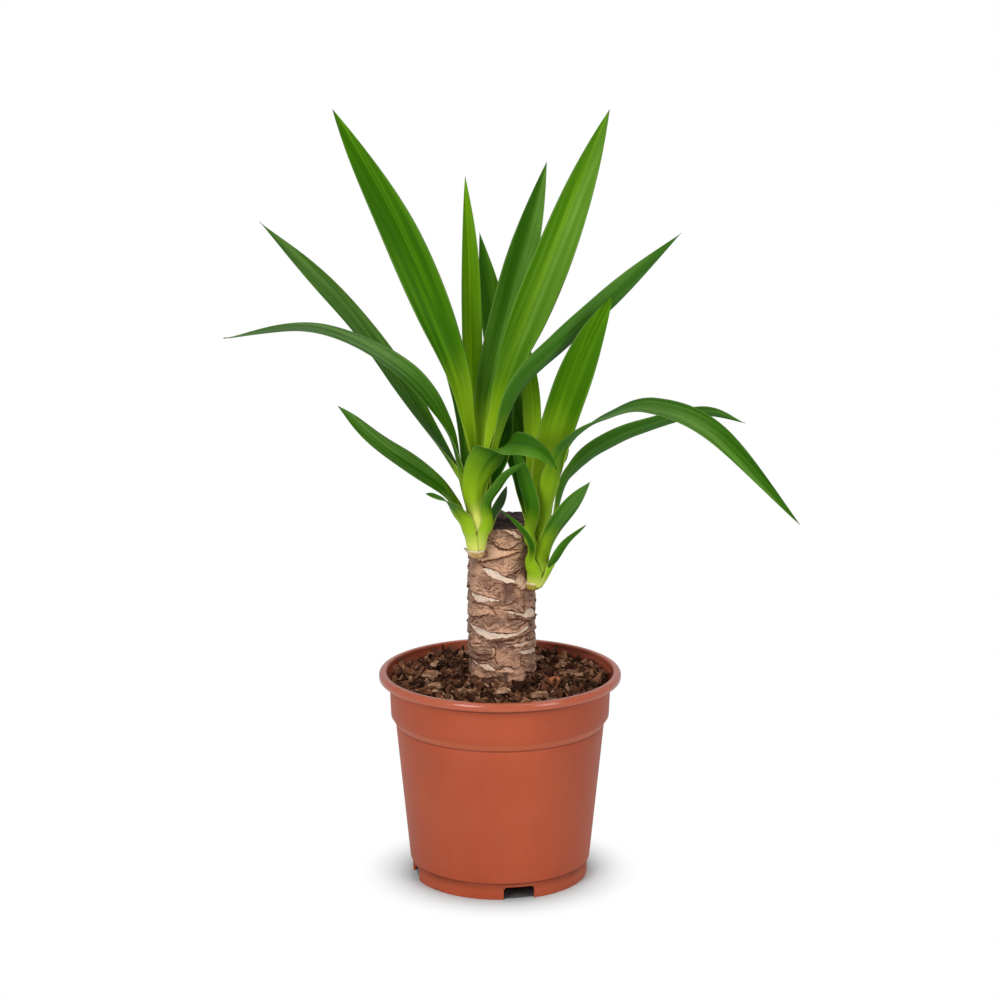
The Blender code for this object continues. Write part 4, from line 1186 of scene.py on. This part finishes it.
def buildCrust():  # the dark, cracked crust on the sawn top of the cane, ridged from side to side
    s = crustSizes
    shares = np.concatenate([[0.97, 1.03, 1.03, 1.0], np.linspace(0.985, 0.02, s["rings"])])
    share, turn = np.meshgrid(shares, fullTurn(s["around"]), indexing="ij")
    flat = polar(s["radius"] * share, turn, 0)
    drift = np.array([0, 1, 0]) * softNoise(flat, 9, 21)[..., None] * 3
    ridges = softNoise(flat * np.array([0.32, 1, 1]) + drift, 1.7, 12)
    coarse, fine = softNoise(flat, 6.5, 11), softNoise(flat, 0.8, 13)
    torn = softNoise(polar(9, turn, 0), 1.6, 14)
    # painted light and shade: the back half of the crust is painted lighter than the front
    back = smoothStep(share * np.sin(turn), -0.35, 0.25)
    face = s["face"] + (coarse - 0.5) * 1.6 + (ridges - 0.5) * 1.8 + (fine - 0.5) * 0.5
    face += back * (0.4 + (torn - 0.5) * 2.2) - (1 - back) * 0.5 * smoothStep(share, 1.0, 0.7)
    height = np.where(np.arange(len(shares))[:, None] >= 4, face, s["rim"] + (torn - 0.5) * 0.9)
    height[0] = s["under"] + (torn[1] - 0.5) * 2.6
    height[1] = height[0] + 0.2
    radius = s["radius"] * share + np.where(share > 0.9, (torn - 0.5) * 1.1, 0)
    mesh = gridMesh("caneCrust", (polar(radius, turn, height) + [caneSizes["x"], 0, 0]) * mm)
    storeFloats(mesh, "crustLitBack", back * (0.5 + ridges))
    return finishPiece(newObject("caneCrust", mesh, crustMaterial), "cane_crust", "cane_cap")


def copyOf(obj):  # a free copy for a tree to grow on
    return newObject("bed", obj.data.copy())


cane = buildCane()
flakes = grow("barkFlakes", copyOf(cane), buildFlakeTree(), flakeSizes, barkMaterial)
finishPiece(flakes, "cane_bark")
buildCrust()
print("cane built, flake faces:", len(flakes.data.polygons))


stemSizes = {"inCane": 18.2, "rings": 70, "around": 40, "lumps": 0.35}
# how far along the stem's height, and how thick there, in millimetres
stemGirths = ((0.1, 3.9), (0.35, 4.2), (0.6, 3.9), (0.8, 3.1), (0.92, 2.0), (1, 0.5))


def buildStem(side):  # leaves the cane sideways, bends up inside the leaf bases and tapers
    s, shoot = stemSizes, shoots[side]
    inward = -compass(shoot["side"], 0)
    start = inward * (shootSizes["reach"] - s["inCane"])
    route = [start + [0, 0, -1.2], start * 0.6 + [0, 0, -0.4], start * 0.22 + [0, 0, 2.6]]
    for share, _ in stemGirths:
        drift = inward * shoot["shift"] * max(0.5 - share, 0)
        route.append(shootPoint(side, shoot["stem"] * share) + drift)
    path, _ = smoothPath(route, s["rings"])
    run = np.concatenate([[0], np.cumsum(np.linalg.norm(np.diff(np.array(route), axis=0), axis=1))])
    girths = [2.2, 2.3, 3.0, *(width for _, width in stemGirths)]
    radius = np.interp(np.linspace(0, run[-1], s["rings"]), run, girths)
    along = unit(np.gradient(path, axis=0))
    sideways = unit(np.cross(along, np.array([-inward[1], inward[0], 0])))
    turns = fullTurn(s["around"])[None, :, None]
    ring = sideways[:, None] * np.cos(turns) + np.cross(along, sideways)[:, None] * np.sin(turns)
    points = path[:, None] + ring * radius[:, None, None] + shootFoot(side)
    points += ring * (softNoise(points, 2.2, 31) - 0.5)[..., None] * s["lumps"]
    mesh = gridMesh(side + "Stem", points * mm)
    rise = points[..., 2] - shoot["foot"]
    storeFloats(mesh, "stemRise", rise * mm)
    storeFloats(mesh, "stemGreen", smoothStep(rise, 1.0, 5.0))
    return finishPiece(newObject(side + "StemCore", mesh, stemMaterial), "shoot_green", side + "_stem")


sheathSizes = {"around": 120, "rows": 14, "wall": 0.4, "ragged": 1.3, "tipWidth": 10}
sheathTips = {"left": {"side": 178, "reach": 1.4, "green": 0.1},
              "right": {"side": 352, "reach": 0.9, "green": 0.75}}
# radius and height above the shoot's foot, from the bottom of the cup to its rim
sheathOutline = [(0.8, -1.8), (2.0, -1.6), (3.1, -1.1), (4.0, -0.2), (4.6, 1.0), (5.0, 2.2), (5.2, 3.4)]


def buildSheath(side):  # a papery cup of old leaf bases, its rim torn and drawn out to one dark point
    s, point = sheathSizes, sheathTips[side]
    turns = fullTurn(s["around"])
    foot = shootFoot(side)
    circle = polar(6, turns, 0) + foot
    torn = softNoise(circle, 2.6, 41) * 0.6 + softNoise(circle, 0.9, 42) * 0.4 - 0.5
    share = np.linspace(0, 1, s["rows"])[:, None]
    radii, heights = np.array(sheathOutline).T
    marks = np.linspace(0, 1, len(radii))
    away = (np.degrees(turns) - point["side"] + 180) % 360 - 180
    tip = hill(away, s["tipWidth"]) * smoothStep(share, 0.6, 1.0)
    bowl = np.interp(share, marks, radii) * (1 + torn * 0.12) + tip * point["reach"]
    height = np.interp(share, marks, heights) + share**3 * torn * s["ragged"] * 1.6 + tip * 0.5
    centre = -compass(shoots[side]["side"], 0) * (shoots[side]["shift"] + 1.6 * (1 - share[..., None]))
    outer = polar(bowl, turns, height) + centre
    inner = polar(bowl - s["wall"], turns, height + 0.25 * (1 - share)) + centre
    mesh = gridMesh(side + "Sheath", (np.concatenate([outer, inner[::-1]]) + foot) * mm)
    rise, green = np.broadcast_to(share, tip.shape), np.full(tip.shape, point["green"])
    for name, values in (("sheathRise", rise), ("sheathTip", tip), ("sheathGreen", green)):
        storeFloats(mesh, name, np.concatenate([values, values[::-1]]))
    return finishPiece(newObject(side + "SheathCup", mesh, sheathMaterial), "dry_sheath", side + "_sheath")


for shootSide in shoots:
    buildStem(shootSide)
    buildSheath(shootSide)
print("shoots dressed")


soilSizes = {"edge": 113.3, "crown": 115.8, "crownReach": 19.2, "edgeReach": 64, "around": 200, "rings": 60,
             "heap": 2.4, "foot": 2.0, "brim": 1.7, "inner": 8, "outer": 62.3}
soilLumps = ((7, 51, 1.6), (3.1, 52, 2.0), (1.3, 53, 1.0))  # size, seed and height
soilSkirt = [(51.0, 10.3), (54.6, 50), (58.6, 88), (61.3, 97), (62.2, 111)]  # radius and height, going up


def soilHeight(radius):
    s = soilSizes
    share = np.clip((radius - s["crownReach"]) / (s["edgeReach"] - s["crownReach"]), 0, 1)
    return s["crown"] + (s["edge"] - s["crown"]) * share


def buildSoil():
    s = soilSizes
    turns = fullTurn(s["around"])
    radius, turn = np.meshgrid(np.linspace(s["outer"], s["inner"], s["rings"]), turns, indexing="ij")
    flat = polar(radius, turn, 0)
    lumps = sum((softNoise(flat, size, seed) - 0.5) * high for size, seed, high in soilLumps)
    heap = softNoise(flat, 17, 54) * s["heap"] + s["brim"] * smoothStep(radius, 42, 60)
    piled = smoothStep(radius, 29, 20) * s["foot"]  # against the foot of the cane
    height = soilHeight(radius) - 0.9 + (lumps + heap + piled) * smoothStep(radius, 62.4, 60.5)
    skirt = np.array(soilSkirt)[:, :, None]
    sides = polar(skirt[:, 0], turns, skirt[:, 1])
    mesh = gridMesh("soilBed", np.concatenate([sides, polar(radius, turn, height)]) * mm)
    storeFloats(mesh, "crumbTone", np.full(len(mesh.vertices), 0.1))
    return finishPiece(newObject("soilBed", mesh, soilMaterial), "soil_mix", "soil")


def randomNumber(seed, offset, low=0.0, high=1.0):
    limits = {2: low, 3: high, "Seed": seed + float(offset)}
    return add("FunctionNodeRandomValue", limits, data_type="FLOAT")[1]


def jitter(offset, scale, amount, place):  # pushes a shape's points about
    noise = {"Vector": total(place, offset), "Scale": scale, "Detail": 2.0}
    cloud = add("ShaderNodeTexNoise", noise)["Color"]
    return total(place, scaled(vectorCalc("SUBTRACT", cloud, (0.5, 0.5, 0.5)), amount))


def lumpShapes():
    for variant in range(6):
        ball = geo("MeshIcoSphere", {"Radius": 0.5, "Subdivisions": 2})
        rough = jitter((variant * 3.7, 1.3, 0.4), 2.3, 1.5, geo("InputPosition"))
        yield setPosition(ball, vectorCalc("MULTIPLY", rough, (1.0, 0.8, 0.75)))


# how much each kind of shred bends, and how much it narrows to one end
shredBends = ((-1.5, -0.5), (1.3, 0.4), (-1.9, 0.6), (1.7, -0.3), (-1.1, 0.2))


def shredShapes():
    for variant, (bend, narrow) in enumerate(shredBends):
        block = geo("MeshCube", {"Size": (1.0, 1.0, 0.14), "Vertices X": 6, "Vertices Y": 3, "Vertices Z": 2})
        part = split(geo("InputPosition"))
        wide = part["Y"] * (part["X"] * narrow + 0.5)
        cupped = wide * wide * 1.2 + part["X"] * part["X"] * bend
        bent = combine(part["X"], wide, part["Z"] + cupped)
        yield setPosition(block, jitter((variant * 2.9, 0.7, 5.4), 2.8, 0.55, bent))


def instances(shapes):
    return joined(*[geo("GeometryToInstance", {"Geometry": shape}) for shape in shapes])


bedFoot = 110.5 * mm  # nothing lies on the skirt of the bed, below this
boreLimit = (0.1168, 0.1192, 0.0621, 0.0645)  # heights between which the pot widens, and its radius there


def buildCrumbTree():  # lumps and curled shreds of potting mix, scattered over the bed
    floats = ("Spacing", "Density", "Least Size", "Most Size", "Flatness", "Outer Radius", "Lift", "Tilt")
    tree, given, out = geometryGroup("crumbTree", *[(label, "Float") for label in floats],
                                     ("Inner Radius", "Float"), ("Middle", "Vector"), ("Shreds", "Bool"),
                                     ("Seed", "Int"))
    seed = given["Seed"]
    where = geo("InputPosition")
    level = vectorCalc("MULTIPLY", where, (1, 1, 0))
    within = calc("LESS_THAN", vectorCalc("LENGTH", level), given["Outer Radius"])
    fromCane = vectorCalc("LENGTH", vectorCalc("SUBTRACT", level, given["Middle"]))
    allowed = within * calc("GREATER_THAN", fromCane, given["Inner Radius"])
    points = scatterPoints(given, allowed * calc("GREATER_THAN", split(where)["Z"], bedFoot))
    shape = geo("Switch", {"Switch": given["Shreds"], "False": instances(lumpShapes()),
                           "True": instances(shredShapes())}, input_type="GEOMETRY")
    toned, tone = points["Points"], randomNumber(seed, 7)
    for label in ("crumbTone", "chipTone"):
        toned = store(toned, label, tone)
    lean = given["Tilt"] * -1.0
    spin = combine(randomNumber(seed, 11, lean, given["Tilt"]), randomNumber(seed, 12, lean, given["Tilt"]),
                   randomNumber(seed, 14, 0.0, math.tau))
    size = randomNumber(seed, 13, given["Least Size"], given["Most Size"])
    scale = combine(size, size * randomNumber(seed, 17, 0.6, 1.2), size * given["Flatness"])
    placed = geo("InstanceOnPoints", {"Points": toned, "Instance": shape, "Pick Instance": True,
                                      "Rotation": spin, "Scale": scale})
    lifted = geo("TranslateInstances", {"Instances": placed, "Translation": combine(z=given["Lift"]),
                                        "Local Space": False})
    real = geo("RealizeInstances", {"Geometry": lifted})
    spot = geo("InputPosition")  # nothing passes through the wall of the pot
    away = vectorCalc("LENGTH", vectorCalc("MULTIPLY", spot, (1, 1, 0)))
    limit = calc("MINIMUM", fade(split(spot)["Z"], *boreLimit) / away, 1.0)
    real = setPosition(real, vectorCalc("MULTIPLY", spot, combine(limit, limit, 1.0)))
    closeTree(given, out, geo("SetShadeSmooth", {"Geometry": real, "Shade Smooth": False}))
    return tree


# For each kind of scatter: its material, whether it is made of shreds, spacing, density, least and
# greatest size, flatness, lift, tilt, seed, and how near the cane and how far out it may lie. Lengths are
# in millimetres and the density is per square metre.
scatters = {
    "soilCrumbs": (soilMaterial, False, 2.1, 260000.0, 2.4, 5.6, 0.75, 0.0, 0.6, 3, 20.5, 62.2),
    "soilGrains": (soilMaterial, False, 2.1, 260000.0, 0.9, 2.4, 0.8, 1.2, 0.6, 9, 20.5, 62.2),
    "peatShreds": (soilMaterial, True, 2.7, 160000.0, 4.5, 10.0, 0.75, 1.8, 0.9, 33, 20.5, 62.0),
    "barkShreds": (chipMaterial, True, 6.6, 90000.0, 3.5, 7.5, 0.6, 2.2, 0.7, 21, 20.5, 60.5),
    "footShreds": (chipMaterial, True, 3.6, 300000.0, 3.0, 6.0, 0.8, 1.5, 0.9, 5, 21.0, 25.5),
}


def buildScatters():
    soilBed, crumbTree = buildSoil(), buildCrumbTree()
    for name, (material, shreds, spacing, density, least, most, flatness, lift, tilt, seed, inner,
               outer) in scatters.items():
        values = {"Middle": (caneSizes["x"] * mm, 0.0, 0.0), "Shreds": shreds, "Spacing": spacing * mm,
                  "Density": density, "Least Size": least * mm, "Most Size": most * mm,
                  "Flatness": flatness, "Lift": lift * mm, "Tilt": tilt, "Seed": seed,
                  "Inner Radius": inner * mm, "Outer Radius": outer * mm}
        piece = grow(name, copyOf(soilBed), crumbTree, values, material)
        finishPiece(piece, "bark_chip" if material == chipMaterial else "soil_mix")
        print(name, len(piece.data.polygons))


chipSizes = {"bevel": 0.35, "edge": 0.8, "cup": 0.014, "raise": 4.0}
chipRoughness = ((2.2, 1.1, 1), (0.7, 0.4, 1), (0.6, 0.35, 0.3))  # size, depth and how far stretched in x
chipTones = (0.45, 0.55, 0.5, 0.45, 0.55, 0.94, 0.85, 0.8, 0.5, 0.92, 0.45, 1.0)  # above 0.97 is orange


def dropFolds(bm):  # pairs of faces that lie back to back on the same three points
    bm.verts.index_update()
    found = {}
    for face in bm.faces:
        found.setdefault(frozenset(vert.index for vert in face.verts), []).append(face)
    doubled = [face for faces in found.values() if len(faces) > 1 for face in faces]
    bmesh.ops.delete(bm, geom=doubled, context="FACES")


def chipMesh(name):  # the plain slab with broken edges, cut fine enough to be roughened
    bm = bmesh.new()
    bm.from_mesh(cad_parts[name].data)
    bmesh.ops.remove_doubles(bm, verts=bm.verts, dist=0.02 * mm)
    bmesh.ops.dissolve_limit(bm, angle_limit=0.03, verts=bm.verts, edges=bm.edges)
    bmesh.ops.bevel(bm, geom=list(bm.edges), offset=chipSizes["bevel"] * mm, segments=1, affect="EDGES",
                    profile=0.5)
    bmesh.ops.triangulate(bm, faces=bm.faces)
    for _ in range(3):
        long = [edge for edge in bm.edges if edge.calc_length() > chipSizes["edge"] * mm]
        bmesh.ops.subdivide_edges(bm, edges=long, cuts=1, use_grid_fill=True)
        bmesh.ops.triangulate(bm, faces=bm.faces)
    dropFolds(bm)
    bm.normal_update()
    return bm


def sortedFaces(bm):  # the corners of each triangle, which otherwise come in another order in each run
    bm.verts.index_update()
    corners = [[vert.index for vert in face.verts] for face in bm.faces]
    starts = [corner.index(min(corner)) for corner in corners]
    return sorted(corner[start:] + corner[:start] for corner, start in zip(corners, starts))


def buildChips():  # each loose bark slab, roughened where it lies
    rng = random.Random(2)
    names = sorted(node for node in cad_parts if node.startswith("bark_chip"))
    for name, tone in zip(names, chipTones):
        bm = chipMesh(name)
        places = np.array([vert.co for vert in bm.verts]) / mm
        seed = rng.randrange(100)
        away = places - places.mean(axis=0)
        push = sum((softNoise(places * np.array([squeeze, 1, 1]), size, seed + number) - 0.5) * depth
                   for number, (size, depth, squeeze) in enumerate(chipRoughness))
        places += np.array([vert.normal for vert in bm.verts]) * push[:, None]
        cup = (away[:, 0]**2 + away[:, 1]**2) * chipSizes["cup"] * rng.choice((1, -0.6))
        places[:, 2] += cup + chipSizes["raise"]
        mesh = bpy.data.meshes.new(name)
        mesh.from_pydata(places * mm, [], sortedFaces(bm))
        bm.free()
        mesh.shade_smooth()
        mesh.set_sharp_from_angle(angle=math.radians(40))
        storeFloats(mesh, "chipTone", np.full(len(places), tone))
        finishPiece(newObject("barkChip" + name[-2:], mesh, chipMaterial), "bark_chip", name)


def buildThreadTree():  # a round thread along each line, thin at its ends
    tree, given, out = geometryGroup("threadTree", ("Radius", "Float"))
    curve = geo("MeshToCurve", {"Mesh": given["Geometry"]})
    circle = geo("CurvePrimitiveCircle", {"Resolution": 7, "Radius": given["Radius"]})
    middle = calc("ABSOLUTE", add("GeometryNodeSplineParameter")["Factor"] * 2.0 - 1.0)
    slim = calc("SQRT", 1.02 - calc("POWER", middle, 4.0))
    tube = geo("CurveToMesh", {"Curve": curve, "Profile Curve": circle, "Scale": slim, "Fill Caps": True})
    closeTree(given, out, geo("SetShadeSmooth", {"Geometry": tube}))
    return tree


threadSizes = {"count": 30, "step": 0.8, "raise": 2.6, "outer": 59, "inner": 21.5, "radius": 0.26,
               "start": (26, 55), "bend": 0.16, "steps": (12, 28), "hump": (0.5, 1.6), "wobble": 0.12}


def buildThreads():  # fine dry roots and coir lying on the soil
    s = threadSizes
    rng = random.Random(8)
    places, edges = [], []
    for _ in range(s["count"]):
        turn, radius = rng.uniform(0, math.tau), rng.uniform(*s["start"])
        heading, bend = rng.uniform(0, math.tau), rng.uniform(-s["bend"], s["bend"])
        x, y = radius * math.cos(turn), radius * math.sin(turn)
        length = rng.randrange(*s["steps"])
        hump = rng.uniform(*s["hump"])
        start = len(places)
        for step in range(length):
            away = math.hypot(x, y)
            if away > s["outer"] or math.hypot(x - caneSizes["x"], y) < s["inner"]:
                break
            height = float(soilHeight(away)) + s["raise"] + hump * math.sin(math.pi * step / (length - 1))
            places.append((x * mm, y * mm, height * mm))
            heading += bend + rng.uniform(-s["wobble"], s["wobble"])
            x += s["step"] * math.cos(heading)
            y += s["step"] * math.sin(heading)
        edges += [(at, at + 1) for at in range(start, len(places) - 1)]
    mesh = bpy.data.meshes.new("rootLines")
    mesh.from_pydata(places, edges, [])
    roots = grow("rootThreads", newObject("rootLines", mesh), buildThreadTree(), {"Radius": s["radius"] * mm},
                 rootMaterial)
    return finishPiece(roots, "soil_mix")


buildScatters()
buildChips()
buildThreads()
print("soil dressed")


stageValues = {"floorReach": 30.0, "floorColour": (0.78, 0.87, 0.885, 1), "underPot": (0.16, 0.16, 0.16, 1),
               "clearStart": 0.0515, "clearEnd": 0.084, "ambient": 0.24, "mirrored": 0.5, "distance": 1.586,
               "elevation": 12.7, "aimHeight": 0.2226, "lens": 100.0}
softboxes = {  # place, size and power of each lamp
    "keyLight": ((-0.95, -1.55, 1.0), (0.8, 1.5), 21),
    "fillLight": ((1.25, -1.2, 0.8), (0.6, 1.4), 10),
    "topLight": ((0.1, 0.3, 1.9), (1.4, 1.2), 11),
}


def buildFloor():  # turns to plain white, for the camera alone, at some way from the pot
    s = stageValues
    material, shader, place = newMaterial("paleFloor", 0.1)
    shader.inputs["Roughness"].default_value = 0.9
    away = vectorCalc("LENGTH", place)
    paintedUnderShade = fade(away, 0.0475, 0.0495)  # painted shade: the floor under the pot is painted dark grey
    plug(shader.inputs["Base Color"], mix(paintedUnderShade, s["underPot"], s["floorColour"]))
    glow = add("ShaderNodeEmission", {"Color": (1, 1, 1, 1), "Strength": 1.0})
    clear = calc("POWER", fade(away, s["clearStart"], s["clearEnd"]), 0.5)
    seen = add("ShaderNodeLightPath")["Is Camera Ray"]
    blend = add("ShaderNodeMixShader", {0: clear * seen, 1: Value(shader.outputs[0]), 2: glow[0]})
    plug(material.node_tree.nodes["Material Output"].inputs["Surface"], blend[0])
    bm = bmesh.new()
    bmesh.ops.create_grid(bm, x_segments=1, y_segments=1, size=s["floorReach"])
    fromBmesh("floor", bm, material)


def buildWorld():
    world = bpy.data.worlds.new("studio")
    world.use_nodes = True
    scene.world = world
    work["tree"] = world.node_tree
    light = add("ShaderNodeLightPath")
    seen = calc("MAXIMUM", light["Is Camera Ray"], light["Is Transmission Ray"])
    seen = calc("MAXIMUM", seen, light["Is Glossy Ray"] * stageValues["mirrored"])
    back = world.node_tree.nodes["Background"]
    back.inputs["Color"].default_value = (1, 1, 1, 1)
    plug(back.inputs["Strength"], calc("MAXIMUM", seen, stageValues["ambient"]))


def buildSoftbox(name, place, size, power):
    light = bpy.data.lights.new(name, "AREA")
    light.shape = "RECTANGLE"
    light.size, light.size_y = size
    light.energy = power
    lamp = newObject(name, light)
    lamp.location = place
    lamp.rotation_euler = (Vector((0, 0, 0.2)) - Vector(place)).to_track_quat("-Z", "Y").to_euler()


def buildCamera():
    s = stageValues
    rise = math.radians(s["elevation"])
    camera = newObject("camera", bpy.data.cameras.new("camera"))
    camera.data.lens = s["lens"]
    camera.data.sensor_width = 36
    camera.location = (0, -s["distance"] * math.cos(rise), s["aimHeight"] + s["distance"] * math.sin(rise))
    camera.rotation_euler = (math.pi / 2 - rise, 0, 0)
    scene.camera = camera


buildFloor()
buildWorld()
for lampName, lamp in softboxes.items():
    buildSoftbox(lampName, *lamp)
buildCamera()
scene.view_settings.view_transform = "Standard"
print("stage set")
